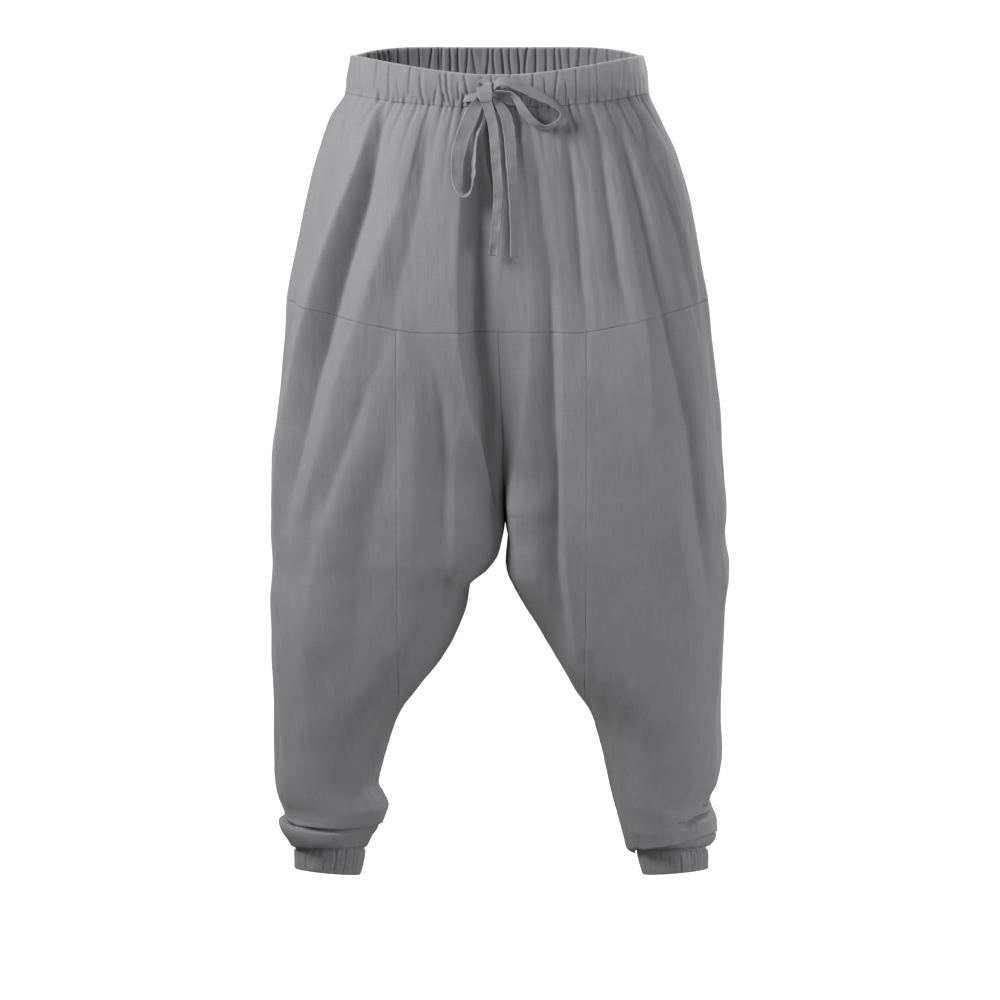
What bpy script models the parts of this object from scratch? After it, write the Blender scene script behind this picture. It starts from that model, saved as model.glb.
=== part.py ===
"""Harem pants: a gathered waistband with a tied drawstring, front and back yokes,
a gusset each side of the low crotch, four leg panels and two gathered ankle cuffs.

Every panel is a thin worn shell. Lengths in the tables are millimetres, sides are the
wearer's: the wearer's right is at -X, the front faces -Y and +Z is up.
"""

import bpy
import numpy as np

COLLECTION = "harem_pants"
TO_METRES = 0.001

# Cloth and its greys
CLOTH_WALL = 1.6
BAND_WALL = 3.0
CUFF_WALL = 2.4
SEAM_GAP = 0.4
TAPE_THICK = 2.0
TAPE_WIDE = 12.0
CLOTH_GREY = (0.25, 0.25, 0.26)
BAND_GREY = (0.27, 0.27, 0.28)
TAPE_GREY = (0.3, 0.3, 0.31)
ROUGHNESS = 0.9

# Which way a leg and a face lie
SIDEWAYS = {"r": -1.0, "l": 1.0}
FORWARD = {"front": -1.0, "back": 1.0}

# Counts for a quarter of the body, from the centre or the inseam to the side seam, then
# for one gather of a band, for half a cuff and for half of a section's dense curve
GATHERS = 11
GUSSET_COLUMNS = 12
LEG_COLUMNS = 10
GATHER_STEPS = 4
CUFF_GATHERS = 10
DENSE = 121

# Heights, measured down the side seam
BAND_FOOT = 23.0
CROTCH = 505
GUSSET_FORK = 700.0
GUSSET_TIP = 775.0

# Rows of the waistband: drop, swell of the casing, and whether the inside has that row
BAND_ROWS = ((-19, 0, True), (-8, 1.3, False), (10, 1.3, False), (22.5, 0, True))

# Rows of the panels, by drop: the yokes', those that gusset and leg panels share, the leg's own
YOKE_ROWS = (23, 31, 44, 64, 90, 120, 152, 186, 222, 255)
SHARED_ROWS = (255, 282, 312, 344, 378, 412, 442, 466, 486, 505, 524, 548, 576, 608, 640, 670, 700, 732, 760)
LEG_ROWS = (775, 797, 818, 833, 846, 857, 866, 879, 893)
TIP_BACK = 3.0

# Depths and heights of the sections, one row for each drop of the side seam: depth of
# front and back at the leg's middle, then at the centre (or inseam), height of front and
# back at the leg's middle, then at the centre, and how far the section closes to a tube
BODY_COLUMNS = (
    "drop front_y back_y centre_front_y centre_back_y "
    "front_z back_z centre_front_z centre_back_z closed"
).split()
BODY = np.array([
    (-19, -103, 108, -103, 108, -6, 33, -6, 33, 0),
    (0, -106, 111, -106, 111, -23, 15, -23, 15, 0),
    (23, -107, 112, -107, 112, -41, -6, -41, -6, 0),
    (48, -117, 124, -117, 124, -70, -34, -70, -34, 0),
    (76, -124, 137, -124, 136, -104, -66, -104, -66, 0),
    (121, -133, 152, -131, 148, -152, -118, -152, -118, 0),
    (173, -141, 163, -136, 155, -206, -180, -206, -180, 0),
    (215, -145, 167, -137, 155, -250, -232, -250, -232, 0),
    (255, -147, 168, -135, 150, -291, -285, -291, -285, 0.05),
    (300, -148, 167, -129, 142, -335, -335, -335, -335, 0.15),
    (345, -147, 164, -118, 130, -378, -384, -378, -384, 0.3),
    (390, -146, 160, -103, 112, -419, -428, -418, -429, 0.45),
    (430, -144, 156, -85, 92, -454, -464, -452, -464, 0.6),
    (465, -142, 152, -62, 70, -485, -494, -478, -491, 0.8),
    (490, -140, 149, -36, 52, -507, -514, -495, -506, 0.95),
    (505, -139, 147, 20, 20, -520, -526, -511, -511, 1),
    (522, -137, 145, 23, 23, -535, -540, -528, -528, 1),
    (540, -135, 143, 24, 24, -551, -555, -544, -544, 1),
    (558, -132, 140, 24, 24, -567, -570, -561, -561, 1),
    (578, -129, 137, 22, 22, -585, -587, -580, -580, 1),
    (604, -125, 133, 20, 20, -609, -610, -605, -605, 1),
    (638, -120, 128, 17, 17, -641, -641, -638, -638, 1),
    (665, -115, 123, 14, 14, -666, -666, -665, -665, 1),
    (700, -108, 114, 10, 10, -700, -700, -700, -700, 1),
    (737, -99, 104, 7, 7, -737, -737, -737, -737, 1),
    (778, -89, 94, 4, 4, -778, -778, -778, -778, 1),
    (813, -82, 86, 3, 3, -813, -813, -813, -813, 1),
    (832, -78, 81, 2, 2, -832, -832, -832, -832, 1),
    (846, -75, 77, 2, 2, -846, -846, -846, -846, 1),
    (857, -78, 80, 2, 2, -857, -857, -857, -857, 1),
    (868, -71, 73, 2, 2, -868, -868, -868, -868, 1),
    (880, -59, 62, 2, 2, -880, -880, -880, -880, 1),
    (893, -49, 52, 2, 2, -893, -893, -893, -893, 1),
], float)

# Breadths of each leg by drop: outer x, inner x (the centre line above the crotch) and x
# where the leg is deepest
BREADTH_COLUMNS = "drop outer_x inner_x apex_x".split()
BREADTH = {
    "r": np.array([
        (-19, -167, 0, -15), (0, -170, 0, -15), (23, -174, 0, -15), (48, -189, 0, -20),
        (76, -200, 0, -28), (121, -213, 0, -42), (173, -224, 0, -60), (215, -233, 0, -74),
        (255, -240, 1, -86), (300, -242, 3, -97), (345, -246, 5, -107), (390, -251, 7, -115),
        (430, -257, 8, -121), (465, -259, 9, -125), (490, -260, 9, -128), (505, -260, 9, -129),
        (522, -260, 6, -130), (540, -259, 2, -132), (558, -258, -10, -136), (578, -259, -31, -143),
        (604, -261, -35, -147), (638, -260, -47, -153), (665, -260, -62, -161),
        (700, -259, -88, -173), (737, -258, -114, -186), (778, -258, -128, -193),
        (813, -257, -136, -196), (832, -254, -129, -191), (846, -246, -127, -187),
        (857, -253, -131, -192), (868, -251, -138, -194), (880, -244, -146, -195),
        (893, -237, -152, -194),
    ], float),
    "l": np.array([
        (-19, 167, 0, 15), (0, 170, 0, 15), (23, 173, 0, 15), (48, 184, 0, 20),
        (76, 197, 0, 28), (121, 213, 0, 42), (173, 226, 0, 60), (215, 233, 0, 74),
        (255, 240, 1, 86), (300, 244, 3, 98), (345, 250, 5, 109), (390, 255, 7, 118),
        (430, 258, 8, 125), (465, 261, 9, 130), (490, 263, 9, 134), (505, 263, 9, 136),
        (522, 261.5, 12, 137), (540, 263, 11, 138), (558, 266, 10, 139), (578, 266, 17, 142),
        (604, 263, 31, 147), (638, 261, 51, 156), (665, 260, 66, 163),
        (700, 259, 86, 172), (737, 258, 109, 183), (778, 260, 121, 190),
        (813, 255, 129, 192), (832, 246, 134, 190), (846, 251, 137, 194),
        (857, 254, 139, 196), (868, 254, 143, 198), (880, 251, 148, 200),
        (893, 245, 156, 201),
    ], float),
}

# The inner half of a leg's section is squarer where the thighs press together: power, by drop
SQUARE_DROPS = (300, 480, 600, 740)
SQUARE = (1.0, 0.74, 0.8, 1.0)

# How far apart on the cloth its slope is taken: share of a section, and drop
SLOPE_SHARE = 0.004
SLOPE_DROP = 1.5

# x of the upright seams either side of the gusset, down to the fork
GUSSET_SEAM_X = {"r": -112.0, "l": 99.0}

# Upright folds: leg, face, points down the fold as (x, z), depth outward (a trough is
# negative), half-width towards the centre and towards the side
FOLDS = (
    ("r", "front", ((-128, -50), (-165, -179), (-192, -255), (-206, -311), (-221, -400)), -8, 16, 12),
    ("r", "front", ((-76, -55), (-91, -179), (-141, -285), (-171, -359), (-219, -482)), -5, 16, 16),
    ("r", "front", ((-16, -66), (-26, -203), (-25, -290), (-14, -385), (-6, -450)), -22, 10, 15),
    ("r", "front", ((-66, -320), (-64, -400), (-70, -480), (-84, -590)), -8, 14, 14),
    ("r", "front", ((-186, -544), (-217, -651), (-237, -762)), 4, 14, 14),
    ("l", "front", ((37, -70), (45, -153), (62, -225), (66, -262)), -8, 14, 14),
    ("l", "front", ((76, -58), (89, -105), (97, -160), (100, -200)), -4, 14, 14),
    ("l", "front", ((158, -90), (172, -153), (190, -215)), -5, 14, 14),
    ("l", "front", ((36, -290), (44, -391), (47, -482), (58, -590)), -13, 10, 14),
    ("l", "front", ((157, -285), (169, -391), (185, -459), (208, -527), (220, -600)), -8, 14, 20),
    ("l", "front", ((216, -330), (223, -437), (247, -505)), -4, 13, 12),
    ("r", "back", ((-40, -60), (-70, -190), (-128, -300), (-170, -420)), -10, 16, 13),
    ("r", "back", ((-12, -70), (-30, -200), (-36, -330), (-26, -450)), -15, 12, 15),
    ("r", "back", ((-110, -60), (-160, -180), (-205, -300), (-226, -420)), -7, 14, 12),
    ("r", "back", ((-96, -480), (-130, -600), (-180, -720)), -8, 16, 16),
    ("l", "back", ((54, -60), (84, -170), (140, -290), (186, -400)), -9, 13, 15),
    ("l", "back", ((20, -80), (40, -210), (48, -340), (34, -460)), -14, 12, 15),
    ("l", "back", ((124, -60), (168, -160), (214, -280)), -6, 12, 12),
    ("l", "back", ((90, -470), (120, -590), (176, -730)), -8, 16, 18),
)
FOLD_FADE = 45.0
FOLD_FACING = (0.1, 0.5)

# A column of points runs down each deep fold: the column, the fold's place in the table
# above, and the drops over which it is let go
GUIDES = {
    ("r", "front"): (3, 2, 430, 500),
    ("l", "front"): (4, 8, 520, 600),
    ("r", "back"): (4, 12, 440, 500),
    ("l", "back"): (4, 16, 440, 500),
}

# Creases round the ankle: leg, heights at the inseam, the front, the side seam and the
# back, depth and half-height
ANKLE_CREASES = (
    ("r", (-867, -861, -860, -866), -4, 6),
    ("l", (-886, -876, -870, -874), -4, 6),
    ("l", (-850, -845, -835, -842), -4, 7),
)

# Gathers: half-height at the band, the drop by which they have faded, and the drops
# between which the yoke's columns leave the gathers for those of the panels below
GATHER_RISE = 2.3
GATHER_FADE = 140.0
GATHERS_LEFT = (44, 110)
GATHER_TURN = {"front": 0.0, "back": 1.7}

# How the seams bow across the front and the back: power of the rise to the side, by drop
BOW_DROPS = (-19, 23, 150)
BOW = {"front": (1.5, 2.2, 1.0), "back": (5.0, 2.6, 1.0)}
CUFF_RISE = 1.3

# The ankle seam is higher in front: rise of a section per millimetre forward, by drop
ANKLE_TILT = ((866, 0), (893, 0.17))

# Cuff sections: height of the middle, rise per millimetre forward and per millimetre
# outward, outer x, inner x, front y, back y
CUFFS = {
    "r": ((-893, 0.17, 0, -236, -153, -48, 51), (-905, 0.155, 0.03, -235.5, -155, -47, 50),
          (-917.5, 0.14, 0.07, -234, -157, -45, 48)),
    "l": ((-893, 0.17, 0, 244.5, 157, -48, 51), (-905, 0.155, 0.03, 244, 160, -47, 50),
          (-917.5, 0.14, 0.07, 242, 163.5, -45, 48)),
}

# Drawstring: points (x, y, z) and the turn of the tape's width out of the front plane, in degrees
TAPES = {
    "lead_r": ((-37, -110, -32, 5), (-32, -111.5, -31.5, 10), (-26, -113.5, -30, 15),
               (-22.6, -114.5, -29, 10)),
    "lead_l": ((-1.2, -113.5, -30, 10), (6, -112.5, -31, 12), (15, -111, -32, 12), (24, -110, -32, 5)),
    "loop_r": ((-21, -124, -36.2, 5), (-26, -126.3, -46, 0), (-31, -128, -56, 0), (-37.5, -130.5, -75, 0),
               (-42, -134, -94, 5), (-43, -137.5, -115, 10), (-41, -140.5, -130, 25), (-36, -141, -139, 60),
               (-30, -138, -134, 75), (-28, -133, -116, 72), (-27, -128.5, -94, 68), (-25.5, -125, -78, 60),
               (-22.5, -121.5, -60, 40), (-22, -117, -44.5, 20)),
    "loop_l": ((-2, -118, -18, 72), (9, -121, -15.5, 60), (30, -122.5, -22.5, 45), (53, -122, -33, 48),
               (67, -121, -42, 62), (72.5, -121, -50, 80), (68, -123, -60, 86), (54, -126, -66, 86),
               (39.5, -126.5, -60.5, 80), (29, -124.5, -47, 65), (21, -122, -34, 65), (9, -120.5, -26, 72),
               (-1.2, -119.5, -24.5, 72)),
    "tail_r": ((-12.5, -119.5, -36.6, 0), (-8, -122, -50, 0), (-3.5, -126, -73, 0), (-1.2, -130, -102, 5),
               (1, -134.5, -130, 5), (0, -138, -159, 0), (-2.7, -140.5, -188, 0), (-4.3, -141.5, -206, 0)),
    "tail_l": ((0.5, -117, -37.5, 10), (9, -119, -51, 15), (13.5, -124.5, -73, 15), (15.5, -130, -102, 20),
               (17, -135, -130, 30), (18.5, -140.5, -167, 40), (19, -145, -208, 50)),
}
TAPE_RING_EVERY = 10
TAPE_OUTLINE = ((-1, 0), (-0.88, -1), (0, -1), (0.88, -1), (1, 0), (0.88, 1), (0, 1), (-0.88, 1))
KNOT_MIDDLE = (-12, -116.8, -27)
KNOT_HALVES = (9.5, 5.2, 8.5)
KNOT_SQUARE = 0.75
KNOT_LUMP = 0.06


def smooth(knots, values, at):
    """Monotone cubic through a column of a table."""
    knots = np.asarray(knots, float)
    values = np.asarray(values, float)
    at = np.asarray(at, float)
    step = np.diff(knots)
    slope = np.diff(values) / step
    tangent = np.zeros(len(knots))
    product = slope[:-1] * slope[1:]
    total = slope[:-1] + slope[1:]
    tangent[1:-1] = np.where(product > 0, 2 * product / np.where(total == 0, 1, total), 0)
    tangent[0] = slope[0]
    tangent[-1] = slope[-1]
    i = np.clip(np.searchsorted(knots, at, side="right") - 1, 0, len(step) - 1)
    t = np.clip((at - knots[i]) / step[i], 0, 1)
    h = step[i]
    return (
        values[i] * (1 + 2 * t) * (1 - t) ** 2
        + values[i + 1] * t * t * (3 - 2 * t)
        + h * tangent[i] * t * (1 - t) ** 2
        - h * tangent[i + 1] * t * t * (1 - t)
    )


def eased(t):
    """A soft step from 0 to 1."""
    t = np.clip(t, 0, 1)
    return t * t * (3 - 2 * t)


def section(leg, face, drop):
    """Half a section as a dense curve, from the centre or inseam to the side seam."""
    row = {}
    for names, table in ((BODY_COLUMNS, BODY), (BREADTH_COLUMNS, BREADTH[leg])):
        for i, name in enumerate(names):
            row[name] = smooth(table[:, 0], table[:, i], drop)
    deep_y = row[face + "_y"]
    deep_z = row[face + "_z"]
    centre_y = row["centre_" + face + "_y"]
    centre_z = row["centre_" + face + "_z"]
    t = np.linspace(0, 1, DENSE)
    closed = row["closed"]
    power = np.interp(drop, SQUARE_DROPS, SQUARE)
    across = closed * (1 - np.cos(t * np.pi / 2) ** power) + (1 - closed) * t
    rise = closed * np.sin(t * np.pi / 2) ** power + (1 - closed) * np.sin(t * np.pi / 2) ** 2
    x1 = row["inner_x"] + (row["apex_x"] - row["inner_x"]) * across
    y1 = centre_y + (deep_y - centre_y) * rise
    x2 = row["apex_x"] + (row["outer_x"] - row["apex_x"]) * np.sin(t * np.pi / 2)
    y2 = deep_y * np.cos(t * np.pi / 2)
    z1 = centre_z + (deep_z - centre_z) * eased(t)
    z2 = deep_z + (-drop - deep_z) * np.sin(t * np.pi / 2) ** np.interp(drop, BOW_DROPS, BOW[face])
    curve = np.concatenate([np.stack([x1, y1, z1], 1), np.stack([x2, y2, z2], 1)[1:]])
    tilt = np.interp(drop, *zip(*ANKLE_TILT))
    curve[:, 2] -= tilt * curve[:, 1]
    return curve


def runs(curve):
    """Length along a curve to each of its points."""
    return np.concatenate([[0], np.cumsum(np.linalg.norm(np.diff(curve, axis=0), axis=1))])


def plain(leg, face, drop, share):
    """Points of the plain form at shares of the section's length, 0 at the centre."""
    curve = section(leg, face, drop)
    run = runs(curve)
    at = np.asarray(share, float) * run[-1]
    return np.stack([np.interp(at, run, curve[:, i]) for i in range(3)], 1)


def crossing(leg, face, drop, x):
    """Share at which a section reaches an x."""
    curve = section(leg, face, drop)
    run = runs(curve)
    side = SIDEWAYS[leg]
    return np.interp(x * side, curve[:, 0] * side, run) / run[-1]


def seam_share(leg, face, drop):
    """Where the gusset's upright seam crosses a section."""
    x = GUSSET_SEAM_X[leg]
    if drop <= GUSSET_FORK:
        return crossing(leg, face, drop, x)
    return crossing(leg, face, GUSSET_FORK, x) * (GUSSET_TIP - drop) / (GUSSET_TIP - GUSSET_FORK)


def gusset_shares(leg, face, drop):
    """Shares of the gusset's columns, one of which runs down the deep fold."""
    seam = seam_share(leg, face, drop)
    column, fold, held, free = GUIDES[leg, face]
    path = FOLDS[fold][2]
    centre_z = plain(leg, face, drop, [0])[0][2]
    x = smooth([-z for _, z in path], [x for x, _ in path], -centre_z)
    even = seam * column / GUSSET_COLUMNS
    loose = np.clip((drop - held) / (free - held), 0, 1)
    guided = crossing(leg, face, drop, x) * (1 - loose) + even * loose
    return np.interp(np.arange(GUSSET_COLUMNS + 1), (0, column, GUSSET_COLUMNS), (0, guided, seam))


def leg_shares(leg, face, drop):
    """Shares of the leg panel's columns, from the gusset or the inseam to the side seam."""
    return np.linspace(seam_share(leg, face, min(drop, GUSSET_TIP)), 1, LEG_COLUMNS + 1)


def fold_relief(leg, face, points):
    """Outward push of the large folds at plain points."""
    sideways = points[:, 0] * SIDEWAYS[leg]
    down = -points[:, 2]
    push = np.zeros(len(points))
    for fold_leg, fold_face, path, depth, inward, outward in FOLDS:
        if (fold_leg, fold_face) != (leg, face):
            continue
        heights = [-z for _, z in path]
        off = sideways - smooth(heights, [x * SIDEWAYS[leg] for x, _ in path], down)
        width = np.where(off > 0, outward, inward)
        fade = eased((down - heights[0]) / FOLD_FADE) * eased((heights[-1] - down) / FOLD_FADE)
        push += depth * fade * np.exp(-((off / width) ** 2))
    return push


def crease_relief(leg, face, points, share):
    """Outward push of the creases round the ankle."""
    push = np.zeros(len(points))
    for crease_leg, heights, depth, width in ANKLE_CREASES:
        if crease_leg == leg:
            inseam, front, side, back = heights
            middle = front if face == "front" else back
            off = points[:, 2] - smooth((0, 0.5, 1), (inseam, middle, side), share)
            push += depth * np.exp(-((off / width) ** 2))
    return push


def gather_shares(face):
    """Shares of the gathers' valleys, unevenly spaced, from the centre to the side seam."""
    turn = GATHER_TURN[face]
    k = np.arange(GATHERS)
    steps = 1 + 0.34 * np.sin(2.4 * k + turn) + 0.18 * np.sin(5.3 * k + 2 * turn)
    return np.concatenate([[0], np.cumsum(steps) / np.sum(steps)])


def gather_relief(face, drop, share):
    """Outward push of the gathers: highest between two valleys, fading below the band."""
    valleys = gather_shares(face)
    k = np.clip(np.searchsorted(valleys, share, side="right") - 1, 0, GATHERS - 1)
    t = (share - valleys[k]) / (valleys[k + 1] - valleys[k])
    fade = np.clip(1 - (drop - BAND_FOOT) / (GATHER_FADE - BAND_FOOT), 0, 1) ** 2
    strength = 1 + 0.3 * np.sin(1.9 * k + GATHER_TURN[face])
    rise = GATHER_RISE * (0.8 if drop < BAND_FOOT else 1.0)
    return rise * fade * strength * (np.sin(np.pi * t) - 0.5)


def worn(leg, face, drop, share):
    """Points of the worn cloth and the outward directions of its plain form."""
    share = np.asarray(share, float)
    points = plain(leg, face, drop, share)
    ahead = plain(leg, face, drop, np.clip(share + SLOPE_SHARE, 0, 1))
    behind = plain(leg, face, drop, np.clip(share - SLOPE_SHARE, 0, 1))
    down = plain(leg, face, drop + SLOPE_DROP, share) - plain(leg, face, drop - SLOPE_DROP, share)
    out = np.cross(ahead - behind, down)
    out *= SIDEWAYS[leg] * FORWARD[face] / np.linalg.norm(out, axis=1)[:, None]
    out[share == 1] = (SIDEWAYS[leg], 0, 0)
    if drop < CROTCH:
        out[share == 0] = centre_out(leg, face, drop)
    elif drop == CROTCH:
        out[share == 0] = (0, 0, -1)
    else:
        out[share == 0] = (-SIDEWAYS[leg], 0, 0)
    least, most = FOLD_FACING
    facing = np.clip((abs(out[:, 1]) - least) / (most - least), 0, 1)
    push = fold_relief(leg, face, points) * facing + crease_relief(leg, face, points, share)
    push += gather_relief(face, drop, share)
    return points + out * push[:, None], out


def centre_out(leg, face, drop):
    """Outward direction on the centre line, square to it in the middle plane."""
    above = plain(leg, face, drop - SLOPE_DROP, [0])[0]
    below = plain(leg, face, drop + SLOPE_DROP, [0])[0]
    _, along_y, along_z = below - above
    return FORWARD[face] * np.array([0, -along_z, along_y]) / np.hypot(along_y, along_z)


def clear_of_seam(grid, rows=(True, True), columns=(True, True)):
    """Draws the edges of a grid in by half the seam's gap, along the cloth."""
    grid = np.array(grid)
    half = SEAM_GAP / 2
    for edge, inside, wanted in ((0, 1, rows[0]), (-1, -2, rows[1])):
        if wanted:
            way = grid[inside] - grid[edge]
            grid[edge] += way / np.linalg.norm(way, axis=1)[:, None] * half
    for edge, inside, wanted in ((0, 1, columns[0]), (-1, -2, columns[1])):
        if wanted:
            way = grid[:, inside] - grid[:, edge]
            grid[:, edge] += way / np.linalg.norm(way, axis=1)[:, None] * half
    return grid


def finish(name, verts, faces, colour):
    """A closed solid from its points and faces, as one object with its own material."""
    mesh = bpy.data.meshes.new(name)
    mesh.from_pydata([tuple(v) for v in np.asarray(verts) * TO_METRES], [], faces)
    mesh.validate()
    obj = bpy.data.objects.new(name, mesh)
    bpy.data.collections[COLLECTION].objects.link(obj)
    bpy.context.view_layer.objects.active = obj
    obj.select_set(True)
    bpy.ops.object.mode_set(mode="EDIT")
    bpy.ops.mesh.select_all(action="SELECT")
    bpy.ops.mesh.normals_make_consistent(inside=False)
    bpy.ops.object.mode_set(mode="OBJECT")
    obj.select_set(False)
    material = bpy.data.materials.new(name)
    material.use_nodes = True
    shader = material.node_tree.nodes["Principled BSDF"]
    shader.inputs["Base Color"].default_value = (*colour, 1)
    shader.inputs["Roughness"].default_value = ROUGHNESS
    mesh.materials.append(material)
    return obj


class Shell:
    """Points and faces of a wall, built from matching outer and inner grids."""

    def __init__(self):
        self.verts = []
        self.faces = []

    def add(self, points):
        start = len(self.verts)
        self.verts.extend(points)
        return list(range(start, len(self.verts)))

    def between(self, a, b):
        """Quads between two runs of equal length."""
        for i in range(len(a) - 1):
            quad = [a[i], a[i + 1], b[i + 1], b[i]]
            corners = [v for k, v in enumerate(quad) if v != quad[k - 1]]
            if len(corners) > 2:
                self.faces.append(corners)

    def sheet(self, rows):
        for a, b in zip(rows, rows[1:]):
            self.between(a, b)


def sheet_wall(name, outer, inner, colour):
    """A wall from an open grid: outer face, inner face and the four rims."""
    shell = Shell()
    out = [shell.add(row) for row in outer]
    into = [shell.add(row) for row in inner]
    shell.sheet(out)
    shell.sheet(into)
    shell.between(out[0], into[0])
    shell.between(out[-1], into[-1])
    for column in (0, -1):
        shell.between([row[column] for row in out], [row[column] for row in into])
    return finish(name, shell.verts, shell.faces, colour)


def ring_wall(name, rings, colour):
    """A wall from closed rings that run down outside and back up inside."""
    shell = Shell()
    loops = [shell.add(ring) for ring in rings]
    loops = [loop + loop[:1] for loop in loops]
    shell.sheet(loops + loops[:1])
    return finish(name, shell.verts, shell.faces, colour)


def across_body(face, drop, shares):
    """One row from the right side seam over the centre to the left one."""
    right, right_out = worn("r", face, drop, shares)
    left, left_out = worn("l", face, drop, shares)
    return (
        np.concatenate([right[::-1], left[1:]]),
        np.concatenate([right_out[::-1], left_out[1:]]),
    )


def waistband():
    """A closed elastic casing, gathered all round."""
    rings_out, rings_in = [], []
    for drop, swollen, inside in BAND_ROWS:
        halves = []
        for face in ("front", "back"):
            valleys = gather_shares(face)
            part = np.arange(GATHER_STEPS) / GATHER_STEPS
            shares = np.concatenate([a + (b - a) * part for a, b in zip(valleys, valleys[1:])] + [[1.0]])
            points, out = across_body(face, drop, shares)
            halves.append((points, out))
        points = np.concatenate([halves[0][0], halves[1][0][::-1][1:-1]])
        out = np.concatenate([halves[0][1], halves[1][1][::-1][1:-1]])
        rings_out.append(points + out * swollen)
        if inside:
            rings_in.append(points - out * BAND_WALL)
    return ring_wall("waistband", rings_out + rings_in[::-1], BAND_GREY)


def yoke(face):
    """Gathered at the top, its columns drifting to meet those of the panels below."""
    valleys = gather_shares(face)
    crests = (valleys[:-1] + valleys[1:]) / 2
    top = np.sort(np.concatenate([valleys, crests]))
    outer, inner = [], []
    for drop in YOKE_ROWS:
        drift = np.clip((drop - GATHERS_LEFT[0]) / (GATHERS_LEFT[1] - GATHERS_LEFT[0]), 0, 1)
        halves = []
        for leg in ("r", "l"):
            foot = np.concatenate([gusset_shares(leg, face, drop), leg_shares(leg, face, drop)[1:]])
            halves.append(worn(leg, face, drop, top * (1 - drift) + foot * drift))
        points = np.concatenate([halves[0][0][::-1], halves[1][0][1:]])
        out = np.concatenate([halves[0][1][::-1], halves[1][1][1:]])
        outer.append(points)
        inner.append(points - out * CLOTH_WALL)
    return sheet_wall(face + "_yoke", clear_of_seam(outer), clear_of_seam(inner), CLOTH_GREY)


def leg_panel(leg, face):
    """From the yoke seam to the cuff, between the gusset or inseam and the side seam."""
    outer, inner = [], []
    for drop in SHARED_ROWS + LEG_ROWS:
        points, out = worn(leg, face, drop, leg_shares(leg, face, drop))
        outer.append(points)
        inner.append(points - out * CLOTH_WALL)
    return sheet_wall("leg_" + face + "_" + leg, clear_of_seam(outer), clear_of_seam(inner), CLOTH_GREY)


def gusset(face):
    """Across the body from the yoke seam, forking at the crotch to a tip down each leg."""
    fork = SHARED_ROWS.index(CROTCH)
    shell = Shell()
    built = []
    for wall in (0, CLOTH_WALL):
        rows = {}
        for leg in ("r", "l"):
            grid = []
            for drop in SHARED_ROWS:
                points, out = worn(leg, face, drop, gusset_shares(leg, face, drop))
                grid.append(points - out * wall)
            grid = clear_of_seam(grid, rows=(True, False), columns=(False, True))
            way = grid[fork + 1:, 1] - grid[fork + 1:, 0]
            grid[fork + 1:, 0] += way / np.linalg.norm(way, axis=1)[:, None] * SEAM_GAP / 2
            grid[fork, 0] += (0, FORWARD[face] * SEAM_GAP, 0)
            end = GUSSET_TIP - TIP_BACK
            points, out = worn(leg, face, end, [seam_share(leg, face, end) / 2])
            rows[leg] = (grid, points - out * wall)
        sides = []
        for leg in ("r", "l"):
            grid, tip = rows[leg]
            made = []
            for i, row in enumerate(grid):
                if leg == "l" and i <= fork:
                    made.append([sides[0][i][0]] + shell.add(row[1:]))
                else:
                    made.append(shell.add(row))
            made.append(shell.add(tip) * (GUSSET_COLUMNS + 1))
            shell.sheet(made)
            sides.append(made)
        built.append(sides)
    for out, into in zip(*built):
        shell.between(out[0], into[0])
        shell.between([row[-1] for row in out], [row[-1] for row in into])
        shell.between([row[0] for row in out[fork:]], [row[0] for row in into[fork:]])
    return finish(face + "_gusset", shell.verts, shell.faces, CLOTH_GREY)


def cuff(leg):
    """A short gathered ring at the ankle."""
    count = CUFF_GATHERS * 2 * GATHER_STEPS
    turn = np.arange(count) * 2 * np.pi / count
    warp = turn + 0.05 * np.sin(3 * turn + (1 if leg == "r" else 2))
    gathers = CUFF_RISE * (1 + 0.3 * np.sin(5 * turn)) * np.cos(2 * CUFF_GATHERS * turn)
    rings = []
    for wall, rows in ((0, CUFFS[leg]), (CUFF_WALL, CUFFS[leg][::-2])):
        for height, rise, lean, outer_x, inner_x, front_y, back_y in rows:
            middle = (outer_x + inner_x) / 2
            half = abs(outer_x - inner_x) / 2
            ahead = np.cos(warp)
            depth = np.where(ahead > 0, -front_y, back_y)
            reach = gathers - wall - CUFF_RISE
            x = middle + (half + reach) * np.sin(warp)
            y = -(depth + reach) * ahead
            seam = SEAM_GAP * (height == CUFFS[leg][0][0])
            outward = (x - middle) * SIDEWAYS[leg]
            rings.append(np.stack([x, y, height - seam - rise * y + lean * outward], 1))
    return ring_wall("cuff_" + leg, rings, BAND_GREY)


def tape(name, points):
    """A flat tape with rounded edges along a smooth line."""
    points = np.array(points, float)
    run = runs(points[:, :3])
    count = max(5, int(run[-1] / TAPE_RING_EVERY))
    at = np.linspace(0, run[-1], count)
    centre = np.stack([smooth(run, points[:, i], at) for i in range(3)], 1)
    turn = np.radians(smooth(run, points[:, 3], at))
    along = np.gradient(centre, axis=0)
    along /= np.linalg.norm(along, axis=1)[:, None]
    ahead = np.array([0, -1.0, 0])
    flat = np.cross(along, ahead)
    flat /= np.linalg.norm(flat, axis=1)[:, None]
    facing = np.cross(flat, along)
    wide = flat * np.cos(turn)[:, None] + facing * np.sin(turn)[:, None]
    thick = np.cross(along, wide)
    half_w, half_t = TAPE_WIDE / 2, TAPE_THICK / 2
    shell = Shell()
    rings = []
    for c, w, t in zip(centre, wide, thick):
        rings.append(shell.add([c + w * a * half_w + t * b * half_t for a, b in TAPE_OUTLINE]))
    shell.sheet([ring + ring[:1] for ring in rings])
    shell.faces.append(rings[0][::-1])
    shell.faces.append(rings[-1])
    return finish(name, shell.verts, shell.faces, TAPE_GREY)


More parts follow.
